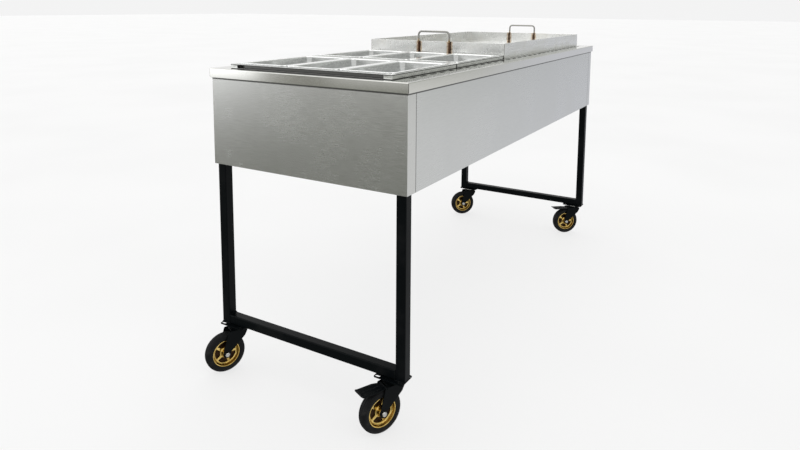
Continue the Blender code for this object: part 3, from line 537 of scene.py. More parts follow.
def make_materials():
    """Every material, by the short name that the builders use."""
    tray_low, tray_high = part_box("griddle_tray")
    handle_low, handle_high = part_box("tray_handle_near")
    wire = (handle_high.x - handle_low.x) / 2
    legs = (handle_low.y + wire, handle_high.y - wire)
    seams = tuple(corner.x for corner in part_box("side_panel_front"))
    wells = [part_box("steam_well_1"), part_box("steam_well_2")]
    well_ends = [corner.x for well in wells for corner in well]
    well_middle = (wells[0][0].y + wells[0][1].y) / 2
    # painted shade under the rim, along the panel seams, in the vents and round the wells
    darkening = panel_painted_shade(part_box("top_deck")[0].z, seams)
    deck_low, deck_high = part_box("top_deck")
    vent_lines = (well_middle - VENT_LINE, well_middle + VENT_LINE)
    vents = vent_painted_shade(deck_high.z, (deck_low.x, deck_high.x), vent_lines)
    pockets = well_painted_shade(well_ends, well_middle, wells[0][1].z, deck_high.z)
    return {
        "end": brushed_steel("steel_end", GRAIN_Y, (0.60, 0.605, 0.59), 0.24, 0.8, darkening),
        "side": brushed_steel("steel_side", GRAIN_X, (0.61, 0.62, 0.61), 0.28, 0.8, darkening),
        "deck": brushed_steel("steel_deck", GRAIN_X, (0.63, 0.63, 0.60), 0.11, 0.6, vents),
        "well": brushed_steel("steel_well", GRAIN_Y, (0.66, 0.67, 0.65), 0.24, 0.6, pockets),
        "pan": pan_steel(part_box("pan_1")[1].z),
        "tray": tray_steel((tray_low.x, tray_high.x), legs),
        "wire": heat_tinted_wire(tray_high.z),
        "burnt_weld": weld_metal("burnt_weld", (0.07, 0.042, 0.030), 0.42),
        "dull_weld": weld_metal("dull_weld", (0.11, 0.105, 0.095), 0.38),
        "bright_weld": weld_metal("bright_weld", (0.30, 0.29, 0.26), 0.36),
        "paint": black_paint(),
        "rubber": rubber(),
        "gold": gold_wheel(),
        "zinc": spotted_metal("zinc", (0.52, 0.52, 0.50), (0.30, 0.30, 0.28), 0.24, 160.0, 0.08),
        "iron": spotted_metal("cast_iron", (0.10, 0.09, 0.08), (0.045, 0.04, 0.036), 0.62, 120.0, 0.45),
        "brass": spotted_metal("brass", (0.70, 0.52, 0.22), (0.48, 0.34, 0.14), 0.34, 150.0, 0.12),
        # painted shade: the pocket floors' dark brown stands for the gold in shadow
        "pocket": spotted_metal(
            "wheel_pocket", (0.050, 0.026, 0.012), (0.012, 0.007, 0.005), 0.5, 180.0, 0.3,
        ),
        "bearing": spotted_metal("bearing", (0.16, 0.11, 0.08), (0.05, 0.035, 0.03), 0.5, 300.0, 0.3),
        "knob": knob_plastic("knob_plastic", (0.012, 0.012, 0.013), 0.34),
        "pointer": knob_plastic("pointer_white", (0.62, 0.61, 0.58), 0.42),
    }


# ---- mesh helpers --------------------------------------------------------------------------------
def add_object(name, data):
    """A new object, linked into the scene."""
    obj = bpy.data.objects.new(name, data)
    bpy.context.scene.collection.objects.link(obj)
    return obj


def rounded_outline(length, width, radius, steps=5, centre=(0.0, 0.0)):
    """Corner-rounded rectangle as (x, y) points."""
    points = []
    for quarter, (side_x, side_y) in enumerate(((1, 1), (-1, 1), (-1, -1), (1, -1))):
        corner_x = centre[0] + side_x * (length / 2 - radius)
        corner_y = centre[1] + side_y * (width / 2 - radius)
        for step in range(steps + 1):
            angle = math.pi / 2 * (quarter + step / steps)
            points.append((corner_x + radius * math.cos(angle), corner_y + radius * math.sin(angle)))
    return points


def lofted(sections, closed_ring=False):
    """Join outlines of equal point count, given as (points, z). The ends are capped, or a closed
    ring joins its last section to its first."""
    shape = bmesh.new()
    loops = [[shape.verts.new((x, y, z)) for x, y in points] for points, z in sections]
    count = len(loops[0])
    pairs = list(zip(loops, loops[1:]))
    if closed_ring:
        pairs.append((loops[-1], loops[0]))
    for lower, upper in pairs:
        for point in range(count):
            after = (point + 1) % count
            shape.faces.new((lower[point], lower[after], upper[after], upper[point]))
    if not closed_ring:
        shape.faces.new(loops[0])
        shape.faces.new(loops[-1])
    bmesh.ops.recalc_face_normals(shape, faces=shape.faces)
    return shape


def turned(profile, steps, wobble=None):
    """Spin a closed (radius, y) outline about Y. wobble(step, point) moves single radii."""
    shape = bmesh.new()
    rings = []
    for index in range(steps):
        angle = 2 * math.pi * index / steps
        ring = []
        for number, (radius, y) in enumerate(profile):
            radius += wobble(index, number) if wobble else 0.0
            ring.append(shape.verts.new((radius * math.cos(angle), y, radius * math.sin(angle))))
        rings.append(ring)
    count = len(profile)
    for index, ring in enumerate(rings):
        following = rings[(index + 1) % steps]
        for point in range(count):
            after = (point + 1) % count
            shape.faces.new((ring[point], ring[after], following[after], following[point]))
    bmesh.ops.recalc_face_normals(shape, faces=shape.faces)
    return shape


def upright(profile, steps):
    """Spin a closed (radius, z) outline about Z."""
    shape = turned(profile, steps)
    bmesh.ops.transform(shape, matrix=Matrix.Rotation(math.pi / 2, 4, "X"), verts=shape.verts)
    return shape


def rod(radius, low, high, steps):
    """Solid round bar along Y."""
    return turned(((SOLID_CORE, low), (radius, low), (radius, high), (SOLID_CORE, high)), steps)


def sideways(shape):
    """Lay a shape lofted up Z along Y, keeping its X and standing its Y up."""
    for vert in shape.verts:
        vert.co = (vert.co.x, vert.co.z, vert.co.y)
    bmesh.ops.recalc_face_normals(shape, faces=shape.faces)
    return shape


def pipe(points, radius, sides=12, ripple=0.0, closed=False):
    """Round bar or weld bead along points. A ripple swells and narrows it like a weld's scales."""
    points = [Vector(point) for point in points]
    shape = bmesh.new()
    rings, normal = [], None
    last = len(points) - 1
    travelled = 0.0
    for index, point in enumerate(points):
        before = points[index - 1] if index or closed else point
        after = points[(index + 1) % len(points)] if index < last or closed else point
        heading = (after - before).normalized()
        if normal is None:
            normal = heading.orthogonal().normalized()
        normal = (normal - heading * normal.dot(heading)).normalized()
        side = heading.cross(normal)
        if index:
            travelled += (point - points[index - 1]).length
        swell = 1.0 + ripple * math.sin(2 * math.pi * travelled / RIPPLE_PITCH)
        ring = []
        for step in range(sides):
            angle = 2 * math.pi * step / sides
            offset = (normal * math.cos(angle) + side * math.sin(angle)) * radius * swell
            ring.append(shape.verts.new(point + offset))
        rings.append(ring)
    pairs = list(zip(rings, rings[1:]))
    if closed:
        pairs.append((rings[-1], rings[0]))
    for first, second in pairs:
        for step in range(sides):
            after = (step + 1) % sides
            shape.faces.new((first[step], first[after], second[after], second[step]))
    if not closed:
        shape.faces.new(rings[0])
        shape.faces.new(rings[-1])
    bmesh.ops.recalc_face_normals(shape, faces=shape.faces)
    return shape


def bead_path(corners, step=RIPPLE_PITCH / 4, closed=False):
    """Points a quarter ripple apart along straight runs between corners."""
    corners = [Vector(corner) for corner in corners]
    ends = corners[1:] + ([corners[0]] if closed else [])
    points = []
    for start, end in zip(corners, ends):
        count = max(1, round((end - start).length / step))
        points += [start.lerp(end, index / count) for index in range(count)]
    return points if closed else points + [corners[-1]]


def joined(shapes):
    """Several shapes in one bmesh."""
    whole = bmesh.new()
    for shape in shapes:
        holder = bpy.data.meshes.new("holder")
        shape.to_mesh(holder)
        shape.free()
        whole.from_mesh(holder)
        bpy.data.meshes.remove(holder)
    return whole


def to_mesh(name, shape, sharp=SHARP_ANGLE):
    """A shape as a smooth mesh with sharp edges kept. The shape is used up."""
    mesh = bpy.data.meshes.new(name)
    shape.to_mesh(mesh)
    shape.free()
    mesh.shade_smooth()
    mesh.set_sharp_from_angle(angle=math.radians(sharp))
    return mesh


def cut(name, base, cutters, sharp=SHARP_ANGLE):
    """The base shape with cutters taken away, as a mesh."""
    target = add_object(name, to_mesh(name, base))
    helper = add_object("cutter", to_mesh("cutter", joined(cutters)))
    step = target.modifiers.new("cut", "BOOLEAN")
    step.operation = "DIFFERENCE"
    step.solver = "EXACT"
    step.object = helper
    mesh = bpy.data.meshes.new_from_object(target.evaluated_get(bpy.context.evaluated_depsgraph_get()))
    for obj in (helper, target):
        bpy.data.objects.remove(obj, do_unlink=True)
    mesh.name = name
    mesh.shade_smooth()
    mesh.set_sharp_from_angle(angle=math.radians(sharp))
    return mesh


def bevel_sharp(shape, width, segments, angle=30.0):
    """Round every edge sharper than the angle."""
    edges = [
        edge for edge in shape.edges
        if len(edge.link_faces) == 2 and edge.calc_face_angle(0.0) > math.radians(angle)
    ]
    bmesh.ops.bevel(
        shape, geom=edges, offset=width, segments=segments, profile=0.5, affect="EDGES",
        clamp_overlap=True,
    )
    return shape


def refined(node, width, segments=3):
    """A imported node's own shape with its facets merged and its edges rounded."""
    shape = bmesh.new()
    shape.from_mesh(NODES[node].data)
    bmesh.ops.remove_doubles(shape, verts=shape.verts, dist=WELDED_FACETS)
    bmesh.ops.dissolve_limit(
        shape, angle_limit=math.radians(1.0), verts=shape.verts, edges=shape.edges,
    )
    return to_mesh(node + "_refined", bevel_sharp(shape, width, segments))


def show(name, mesh, node, material, matrix=None, stands_in=True):
    """Put a piece in the scene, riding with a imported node's body and standing in for that node."""
    mesh.materials.clear()
    mesh.materials.append(material)
    obj = add_object(name, mesh)
    if matrix is not None:
        obj.matrix_world = matrix
    normals = obj.modifiers.new("even_normals", "WEIGHTED_NORMAL")
    normals.keep_sharp = True
    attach(obj, NODES[node]["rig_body"])
    if stands_in:
        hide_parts(node)
    return obj


def local_box(node, matrix):
    """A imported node's lowest and highest corners in the frame of a placement matrix."""
    inverse = matrix.inverted()
    points = [inverse @ vert.co for vert in NODES[node].data.vertices]
    low = Vector(min(point[axis] for point in points) for axis in range(3))
    high = Vector(max(point[axis] for point in points) for axis in range(3))
    return low, high


# ---- cabinet -------------------------------------------------------------------------------------
def cutter_block(outline, low, high):
    """An outline as a block between two heights."""
    return lofted(((outline, low), (outline, high)))


def bath_outline(node, below):
    """Outline of a well's bath, from the part of it that is under the deck."""
    points = [vert.co for vert in NODES[node].data.vertices if vert.co.z < below]
    low_x, high_x = min(p.x for p in points), max(p.x for p in points)
    low_y, high_y = min(p.y for p in points), max(p.y for p in points)
    return rounded_outline(
        high_x - low_x + 2 * BATH_EASE, high_y - low_y + 2 * BATH_EASE, OPENING_CORNER, 4,
        ((low_x + high_x) / 2, (low_y + high_y) / 2),
    )


def build_deck(materials):
    """Folded deck: bend radius along the rim, rounded vents, and openings for the baths and tray."""
    low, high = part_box("top_deck")
    length, width = high.x - low.x, high.y - low.y
    centre = ((low.x + high.x) / 2, (low.y + high.y) / 2)

    def ring(inset):
        return rounded_outline(length - 2 * inset, width - 2 * inset, DECK_CORNER, 2, centre)

    hem = DECK_SHEET / 3
    sections = [
        (ring(DECK_SHEET), high.z - DECK_SHEET),
        (ring(DECK_SHEET), low.z + hem),
        (ring(DECK_SHEET - hem), low.z),
        (ring(hem), low.z),
        (ring(0.0), low.z + hem),
    ]
    for step in range(5):
        angle = math.pi / 2 * step / 4
        inset = DECK_BEND * (1 - math.cos(angle))
        sections.append((ring(inset), high.z - DECK_BEND * (1 - math.sin(angle))))
    above, below = high.z + DECK_SHEET, high.z - 2 * DECK_SHEET
    cutters = [
        cutter_block(bath_outline(node, low.z), below, above)
        for node in ("steam_well_1", "steam_well_2")
    ]
    tray_low, tray_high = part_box("griddle_tray")
    cutters.append(cutter_block(
        rounded_outline(
            tray_high.x - tray_low.x - 2 * TRAY_REST, tray_high.y - tray_low.y - 2 * TRAY_REST,
            OPENING_CORNER, 4, ((tray_low.x + tray_high.x) / 2, (tray_low.y + tray_high.y) / 2),
        ),
        below, above,
    ))
    for side in (-1, 1):
        for index in range(VENT_COUNT):
            x = centre[0] + (index - (VENT_COUNT - 1) / 2) * VENT_PITCH
            y = centre[1] + side * VENT_LINE
            outline = rounded_outline(VENT_LENGTH, VENT_WIDTH, VENT_WIDTH * 0.49, 4, (x, y))
            cutters.append(cutter_block(outline, below, above))
    show("deck", cut("deck", lofted(sections), cutters), "top_deck", materials["deck"])
    beads = []
    for x in (low.x + RIM_BEAD * 0.9, high.x - RIM_BEAD * 0.9):
        for y in (low.y + RIM_BEAD * 0.9, high.y - RIM_BEAD * 0.9):
            path = bead_path(((x, y, low.z + 0.001), (x, y, high.z - 0.0012)))
            beads.append(pipe(path, RIM_BEAD, 8, 0.15))
    show("rim_welds", to_mesh("rim_welds", joined(beads)), "top_deck", materials["dull_weld"],
         stands_in=False)


def build_panels(materials):
    """The cabinet's panels and its bottom pan, with their folds rounded."""
    for node, material in (
        ("end_panel_near", "end"), ("end_panel_far", "end"), ("side_panel_front", "side"),
        ("side_panel_back", "side"), ("bottom_pan", "side"),
    ):
        show(node + "_sheet", refined(node, PANEL_EDGE), node, materials[material])


# ---- frame ---------------------------------------------------------------------------------------
def hollow_tube(low, high, along):
    """Square tube with rounded corners, open at both ends along the given axis."""
    others = [axis for axis in range(3) if axis != along]
    size = [high[axis] - low[axis] for axis in others]
    centre = [(high[axis] + low[axis]) / 2 for axis in others]
    outer = rounded_outline(*size, TUBE_CORNER, 4, centre)
    inner = rounded_outline(
        size[0] - 2 * TUBE_WALL, size[1] - 2 * TUBE_WALL, TUBE_CORNER - TUBE_WALL, 4, centre,
    )
    shape = lofted(
        ((outer, low[along]), (outer, high[along]), (inner, high[along]), (inner, low[along])),
        closed_ring=True,
    )
    for vert in shape.verts:
        flat = vert.co.copy()
        vert.co[others[0]], vert.co[others[1]], vert.co[along] = flat
    bmesh.ops.recalc_face_normals(shape, faces=shape.faces)
    return shape


def weld_loop(low, high, along, at):
    """Bead round a tube's end where it meets its neighbour."""
    others = [axis for axis in range(3) if axis != along]
    corners = []
    for first, second in ((low, low), (high, low), (high, high), (low, high)):
        point = [0.0, 0.0, 0.0]
        point[others[0]], point[others[1]], point[along] = first[others[0]], second[others[1]], at
        corners.append(point)
    return pipe(bead_path(corners, closed=True), FRAME_BEAD, 8, 0.12, closed=True)


def build_frame(materials):
    """Legs, crossbars and top rails, and the beads where they are welded."""
    beads = []
    for corner in CORNERS:
        node = "leg_" + corner
        low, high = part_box(node)
        tube = to_mesh(node + "_tube", hollow_tube(low, high, GRAIN_Z))
        show(node + "_tube", tube, node, materials["paint"])
        beads.append(weld_loop(low, high, GRAIN_Z, low.z))
    for node, along in (
        ("crossbar_near", GRAIN_Y), ("crossbar_far", GRAIN_Y), ("end_rail_near", GRAIN_Y),
        ("end_rail_far", GRAIN_Y), ("long_rail_front", GRAIN_X), ("long_rail_back", GRAIN_X),
    ):
        low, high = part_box(node)
        tube = to_mesh(node + "_tube", hollow_tube(low, high, along))
        show(node + "_tube", tube, node, materials["paint"])
        for at in (low[along], high[along]):
            beads.append(weld_loop(low, high, along, at))
    show("frame_welds", to_mesh("frame_welds", joined(beads)), "leg_near_front", materials["paint"],
         stands_in=False)


# ---- wells, pans and tray ------------------------------------------------------------------------
def pan_shape(low, high):
    """Pressed pan: rolled flange, radiused mouth, stacking step, tapered walls and a dished floor."""
    length, width = high.x - low.x, high.y - low.y
    centre = ((low.x + high.x) / 2, (low.y + high.y) / 2)
    depth = high.z - low.z

    def ring(inset, z):
        radius = max(PAN_CORNER - 0.15 * inset, 0.010)
        return rounded_outline(length - 2 * inset, width - 2 * inset, radius, 6, centre), z

    def skin(offset):
        """The wall from flange to floor: offset 0 is the outside, a steel's thickness the inside."""
        mouth = PAN_FLANGE + offset
        flange_under = high.z - PAN_STEEL + offset
        points = []
        for step in range(4):
            angle = math.pi / 2 * step / 3
            points.append((
                mouth + PAN_MOUTH_RADIUS * (math.sin(angle) - 1) + PAN_MOUTH_RADIUS * 0.4,
                flange_under - PAN_MOUTH_RADIUS * (1 - math.cos(angle)),
            ))
        wall = mouth + PAN_MOUTH_RADIUS * 0.4
        step_at = high.z - PAN_SHOULDER_DEPTH
        points.append((wall + 0.0008, step_at + 0.002))
        points.append((wall + 0.0008 + PAN_SHOULDER, step_at - 0.001))
        lean = PAN_TAPER - PAN_SHOULDER - 0.0012
        floor = low.z + offset
        bottom_wall = wall + PAN_SHOULDER + lean
        points.append((bottom_wall, floor + PAN_FLOOR_RADIUS))
        for step in range(1, 5):
            angle = math.pi / 2 * step / 4
            points.append((
                bottom_wall + PAN_FLOOR_RADIUS * (1 - math.cos(angle)),
                floor + PAN_FLOOR_RADIUS * (1 - math.sin(angle)),
            ))
        return points

    outside, inside = skin(0.0), skin(PAN_STEEL)
    roll = PAN_STEEL * 0.5
    sections = [ring(inset, z) for inset, z in reversed(outside)]
    sections.append(ring(roll * 2, high.z - PAN_STEEL))
    sections.append(ring(roll, high.z - 0.0016))
    sections.append(ring(0.0, high.z - 0.0010))
    sections.append(ring(roll * 0.6, high.z - 0.0001))
    sections.append(ring(roll * 3, high.z))
    sections += [ring(inset, z) for inset, z in inside]
    return lofted(sections)


def build_wells(materials):
    """Both well units and their six pans."""
    for number in (1, 2):
        node = f"steam_well_{number}"
        show(node + "_frame", refined(node, WELL_EDGE), node, materials["well"])
    for number in range(1, 7):
        node = f"pan_{number}"
        mesh = to_mesh(node + "_pressing", pan_shape(*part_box(node)), PAN_SHARP_ANGLE)
        show(node + "_pressing", mesh, node, materials["pan"])


def build_tray(materials):
    """Griddle tray, with a weld up each corner."""
    low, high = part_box("griddle_tray")
    show("tray_plate", refined("griddle_tray", TRAY_EDGE), "griddle_tray", materials["tray"])
    seams = []
    for x, toward_x in ((low.x, 1), (high.x, -1)):
        for y, toward_y in ((low.y, 1), (high.y, -1)):
            at = (x + toward_x * TRAY_EDGE, y + toward_y * TRAY_EDGE)
            path = bead_path(((*at, low.z + TRAY_BEAD), (*at, high.z - 1.2 * TRAY_BEAD)))
            seams.append(pipe(path, TRAY_BEAD, 8, 0.2))
    show("tray_seams", to_mesh("tray_seams", joined(seams)), "griddle_tray",
         materials["bright_weld"], stands_in=False)


def handle_loop(low, high):
    """A bent wire's centre line: up one leg, across and down the other."""
    wire = (high.x - low.x) / 2
    x, top = (low.x + high.x) / 2, high.z - wire
    left, right = low.y + wire, high.y - wire
    points = [(x, left, low.z + (top - HANDLE_BEND - low.z) * step / 4) for step in range(4)]
    steps = 8
    for y, side, first in ((left, 1, 180), (right, -1, 90)):
        for step in range(steps + 1):
            angle = math.radians(first - 90 * step / steps)
            points.append((
                x, y + side * HANDLE_BEND + HANDLE_BEND * math.cos(angle),
                top - HANDLE_BEND + HANDLE_BEND * math.sin(angle),
            ))
    points += [(x, right, low.z + (top - HANDLE_BEND - low.z) * step / 4) for step in (3, 2, 1, 0)]
    return points, wire


def build_handles(materials):
    """Wire handles, each leg welded on both sides."""
    tray_low, tray_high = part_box("griddle_tray")
    for node, wall, out in (
        ("tray_handle_near", tray_low.x, -1), ("tray_handle_far", tray_high.x, 1),
    ):
        low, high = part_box(node)
        points, wire = handle_loop(low, high)
        mesh = to_mesh(node + "_wire", pipe(points, wire, 16))
        show(node + "_wire", mesh, node, materials["wire"])
        beads = []
        for y in (low.y + wire, high.y - wire):
            for side in (-1, 1):
                at = (wall + out * HANDLE_BEAD * 0.6, y + side * wire * 0.85)
                path = bead_path(((*at, low.z + 0.002), (*at, tray_high.z - 0.002)))
                beads.append(pipe(path, HANDLE_BEAD, 8, 0.22))
        show(node + "_welds", to_mesh(node + "_welds", joined(beads)), node,
             materials["burnt_weld"], stands_in=False)


# ---- gas system ----------------------------------------------------------------------------------
def build_gas(materials):
    """Burners and the manifold."""
    for burner in BURNERS:
        node = "burner_" + burner
        show(node + "_casting", refined(node, CASTING_EDGE, 2), node, materials["iron"])
    show("manifold_body", refined("gas_manifold", CASTING_EDGE, 2), "gas_manifold", materials["brass"])


def knob_body(radius, depth):
    """Fluted skirt with a raised, tapered grip."""
    steps = 8 * KNOB_FLUTES

    def flute(index, number):
        wave = 0.5 + 0.5 * math.cos(2 * math.pi * KNOB_FLUTES * index / steps)
        return -FLUTE_DEPTH * wave * (1 < number < 5)

    core = radius * 0.2
    profile = [(radius * across, depth * up) for across, up in KNOB_SKIRT]
    skirt = turned([(core, 0.0), *profile, (core, depth * 0.52)], steps, flute)
    grip = lofted([
        (rounded_outline(radius * 0.46 * grow, radius * 1.72 * grow, radius * 0.15 * grow, 4), depth * up)
        for up, grow in KNOB_GRIP
    ])
    return joined((skirt, sideways(grip)))


def knob_line(radius, depth):
    """Pointer line let into the upper half of the grip's face."""
    outline = rounded_outline(radius * 0.07, radius * 0.62, radius * 0.03, 2, (0.0, radius * 0.30))
    return sideways(cutter_block(outline, depth * 0.96, depth - 0.00005))


def build_knobs(materials):
    """Gas knobs with their pointer lines."""
    for burner in BURNERS:
        node = "knob_" + burner
        low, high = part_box(node)
        middle = Vector(((low.x + high.x) / 2, low.y, (low.z + high.z) / 2))
        radius, depth = (high.x - low.x) / 2, high.y - low.y
        matrix = Matrix.Translation(middle)
        body = to_mesh(node + "_body", knob_body(radius, depth))
        show(node + "_body", body, node, materials["knob"], matrix)
        line = to_mesh(node + "_line", knob_line(radius, depth))
        show(node + "_line", line, node, materials["pointer"], matrix,
             stands_in=False)


# ---- casters, drawn with the swivel axis on Z and the wheel trailing towards +X --------------------
def caster_frames(corner):
    """Placement matrices of a caster's fork and wheel, and the distance between their axes."""
    swivel = Vector(JOINTS["swivel_" + corner]["pos_m"])
    wheel = Vector(JOINTS["roll_" + corner]["pos_m"])
    reach = (wheel - swivel).to_2d()
    heading = math.atan2(reach.y, reach.x)
    turn = Matrix.Rotation(heading, 4, "Z")
    fork = Matrix.Translation((swivel.x, swivel.y, 0.0)) @ turn
    return fork, Matrix.Translation(wheel) @ turn, reach.length


def tyre_shape(low, high, bore):
    """Solid tyre: rounded crown with two grooves and finely ribbed shoulders."""
    radius, half = (high.z - low.z) / 2, (high.y - low.y) / 2
    groove = 0.0010
    right = (
        (radius, 0.0), (radius, half * 0.16), (radius - groove, half * 0.20),
        (radius - groove, half * 0.28), (radius - 0.0001, half * 0.32), (radius - 0.0007, half * 0.50),
        (radius - 0.0020, half * 0.70), (radius - 0.0044, half * 0.88), (radius - 0.0076, half * 0.985),
        (radius - 0.0105, half), (radius - 0.0135, half * 0.97), (bore + 0.0022, half * 0.95),
        (bore, half * 0.90),
    )
    profile = [(r, -y) for r, y in reversed(right[1:])] + list(right)
    ribbed = {number for number, (r, y) in enumerate(profile) if half * 0.6 < abs(y) and r > radius - 0.010}

    def rib(index, number):
        return -RIB_DEPTH if number in ribbed and index % 2 else 0.0

    return turned(profile, 2 * WHEEL_STEPS, rib)


def hub_window(middle, inner, outer):
    """Outline of one window between two spokes, with eased corners."""
    outline = []
    for radius, spread, order in ((inner, WINDOW_SPREAD[0], 1), (outer, WINDOW_SPREAD[1], -1)):
        for step in range(-3, 4):
            share = order * step / 3
            eased = radius + WINDOW_EASE * abs(share) ** 4 * order
            angle = middle + math.radians(spread) * share
            outline.append((eased * math.cos(angle), eased * math.sin(angle)))
    return outline


def hub_shapes(rim, half):
    """Wheel centre: outer rim with rolled lips, a web with five windows, and a boss."""
    side = [(rim - inset, half * share) for inset, share in RIM_PROFILE]
    rim_profile = side + [(r, -y) for r, y in reversed(side[1:-1])]
    boss_side = [(radius, half * share) for radius, share in BOSS_PROFILE]
    boss_profile = [(r, -y) for r, y in reversed(boss_side)] + boss_side
    web_outer, web_half = rim - RIM_DEPTH, half * WEB_SHARE
    disc = rounded_outline(2 * web_outer, 2 * web_outer, web_outer * 0.999, 16)
    cutters = []
    for index in range(SPOKES):
        outline = hub_window(2 * math.pi * index / SPOKES, WINDOW_INNER, web_outer - WINDOW_GAP)
        cutters.append(cutter_block(outline, -2 * web_half, 2 * web_half))
    opening = rounded_outline(2 * WEB_OPENING, 2 * WEB_OPENING, WEB_OPENING * 0.999, 4)
    cutters.append(cutter_block(opening, -2 * web_half, 2 * web_half))
    web = bmesh.new()
    web.from_mesh(cut("web", cutter_block(disc, -web_half, web_half), cutters))
    bevel_sharp(web, WEB_EDGE, 2, 40.0)
    return joined((turned(rim_profile, WHEEL_STEPS), turned(boss_profile, 48), sideways(web)))


def pocket_floor(rim, half):
    """Thin disc at the middle of the web, which closes the windows as blind pockets; its dark brown is
    painted shade.
    """
    outer, depth = rim - RIM_DEPTH, half * POCKET_SHARE
    inner = BOSS_RADIUS - 0.0003
    return turned(((inner, -depth), (inner, depth), (outer, depth), (outer, -depth)), 64)


def bearing_shape(bore, half):
    """Dark seal and inner race inside the boss."""
    race, seal = bore + 0.0009, BORE - 0.0001
    side = [(bore, 0.98), (race, 0.98), (race + 0.0004, 0.90), (seal, 0.88)]
    profile = [(r, -half * share) for r, share in side]
    profile += [(r, half * share) for r, share in reversed(side)]
    return turned(profile, 32)


def cheek_outline(back, top, reach, end, wheel_height):
    """Side of the fork: square at the back, raked down to a round end about the axle."""
    outline = []
    for start, stop, radius, centre in (
        (180, 90, CHEEK_CORNER, (back + CHEEK_CORNER, top - CHEEK_CORNER)),
        (90, 40, CHEEK_SHOULDER, (reach - 0.010, top - CHEEK_SHOULDER)),
        (12, -200, end, (reach, wheel_height)),
    ):
        steps = max(3, abs(start - stop) // 18)
        for step in range(steps + 1):
            angle = math.radians(start + (stop - start) * step / steps)
            outline.append((centre[0] + radius * math.cos(angle), centre[1] + radius * math.sin(angle)))
    return outline + [(back + 0.008, top - 0.022), (back + 0.001, top - 0.009)]


def fork_shape(low, high, reach, wheel_height, race_bottom):
    """Pressed fork: crown with a bearing cup, and two cheeks that taper to the axle."""
    inner = high.y - CHEEK
    top = race_bottom - CUP_HEIGHT
    outline = cheek_outline(low.x, top, reach, high.x - reach, wheel_height)
    cheeks = []
    for side in (-1, 1):
        faces = sorted((side * inner, side * high.y))
        cheeks.append(bevel_sharp(sideways(cutter_block(outline, *faces)), PRESSED_EDGE, 2, 50.0))
    width = 2 * inner + 0.0012
    crown = lofted([
        (rounded_outline(CROWN_LENGTH - 2 * inset, width - 2 * inset, CROWN_CORNER, 6), top - drop)
        for inset, drop in ((0.0008, 0.0030), (0.0, 0.0024), (0.0, 0.0006), (0.0006, 0.0))
    ])
    cup_top = race_bottom - 0.0006
    cup = upright((
        (CUP_BORE, top - 0.0008), (CUP_RADIUS - 0.0004, top - 0.0008), (CUP_RADIUS, top + 0.0012),
        (CUP_RADIUS - 0.0003, cup_top - 0.0006), (CUP_RADIUS - 0.0014, cup_top), (CUP_BORE, cup_top),
    ), 64)
    return joined((*cheeks, crown, cup))


def bolt_head(side):
    """Domed head with its washer edge."""
    radius, height = BOLT_HEAD
    profile = [(radius * across, BOLT_FACE + height * up) for across, up in BOLT_DOME]
    outline = [(SOLID_CORE, BOLT_FACE), *profile, (SOLID_CORE, BOLT_FACE + height)]
    return turned([(r, side * y) for r, y in outline], 32)


def bolt_nut(side):
    """Chamfered hexagonal nut with the bolt's thread standing out of it."""
    corners = [math.pi / 3 * corner for corner in range(6)]
    hexagon = [(BOLT_HEAD[0] * math.cos(angle), BOLT_HEAD[0] * math.sin(angle)) for angle in corners]
    nut = sideways(lofted([
        ([(x * grow, z * grow) for x, z in hexagon], side * (BOLT_FACE + NUT_HEIGHT * up))
        for up, grow in ((0.0, 0.95), (0.12, 1.0), (0.86, 1.0), (1.0, 0.88))
    ]))
    thread = [(SOLID_CORE, side * BOLT_FACE)]
    for turn in range(THREAD_TURNS):
        start = BOLT_FACE + turn * THREAD_PITCH
        thread.append((BOLT_THREAD, side * start))
        thread.append((BOLT_THREAD - 0.0005, side * (start + THREAD_PITCH / 2)))
    thread.append((SOLID_CORE, side * (BOLT_FACE + THREAD_TURNS * THREAD_PITCH)))
    return joined((nut, turned(thread, 20)))


def bolt_shapes(head_side):
    """Axle bolt with its head at one end, and its nut and thread at the other."""
    return joined((bolt_head(head_side), bolt_nut(-head_side), rod(SHANK, -BOLT_FACE, BOLT_FACE, 20)))


def pedal_plate(tip):
    """Pressed plate with three low ribs, narrow at its neck and curled up at its rounded tip."""
    shape = bmesh.new()
    grid = []
    for column in range(PEDAL_COLUMNS + 1):
        share = column / PEDAL_COLUMNS
        x = PEDAL_START + (tip - PEDAL_START) * share
        curl = PEDAL_CURL * max(0.0, (share - 0.80) / 0.20) ** 2
        neck = 0.80 + 0.20 * min(1.0, share / 0.22)
        past = max(0.0, x - (tip - PEDAL_CORNER))
        width = PEDAL_HALF * neck - (PEDAL_CORNER - math.sqrt(max(PEDAL_CORNER ** 2 - past ** 2, 0.0)))
        ribbed = 0.12 < share < 0.78
        line = []
        for row in range(PEDAL_ROWS + 1):
            across = 2 * row / PEDAL_ROWS - 1
            rib = PEDAL_RIB * max(0.0, math.cos(3 * math.pi * across)) * ribbed
            line.append(shape.verts.new((x, across * width, 0.0002 + curl + rib)))
        grid.append(line)
    for near, far in zip(grid, grid[1:]):
        for row in range(PEDAL_ROWS):
            shape.faces.new((near[row], far[row], far[row + 1], near[row + 1]))
    bmesh.ops.recalc_face_normals(shape, faces=shape.faces)
    bmesh.ops.solidify(shape, geom=shape.faces[:], thickness=PEDAL_STEEL)
    return shape


def pedal_shape(tip):
    """Foot pedal: its pressed plate, a tongue back to the barrel, and the pin through that."""
    barrel_radius, barrel_half = PEDAL_BARREL
    pin_radius, pin_half = PEDAL_PIN
    outline = rounded_outline(PEDAL_TONGUE, 2 * barrel_half, 0.003, 3, (PEDAL_TONGUE * 0.4, 0.0))
    return joined((
        pedal_plate(tip - 0.0006),
        rod(barrel_radius, -barrel_half, barrel_half, 20),
        rod(pin_radius, -pin_half, pin_half, 16),
        cutter_block(outline, -0.0004, 0.0016),
    ))


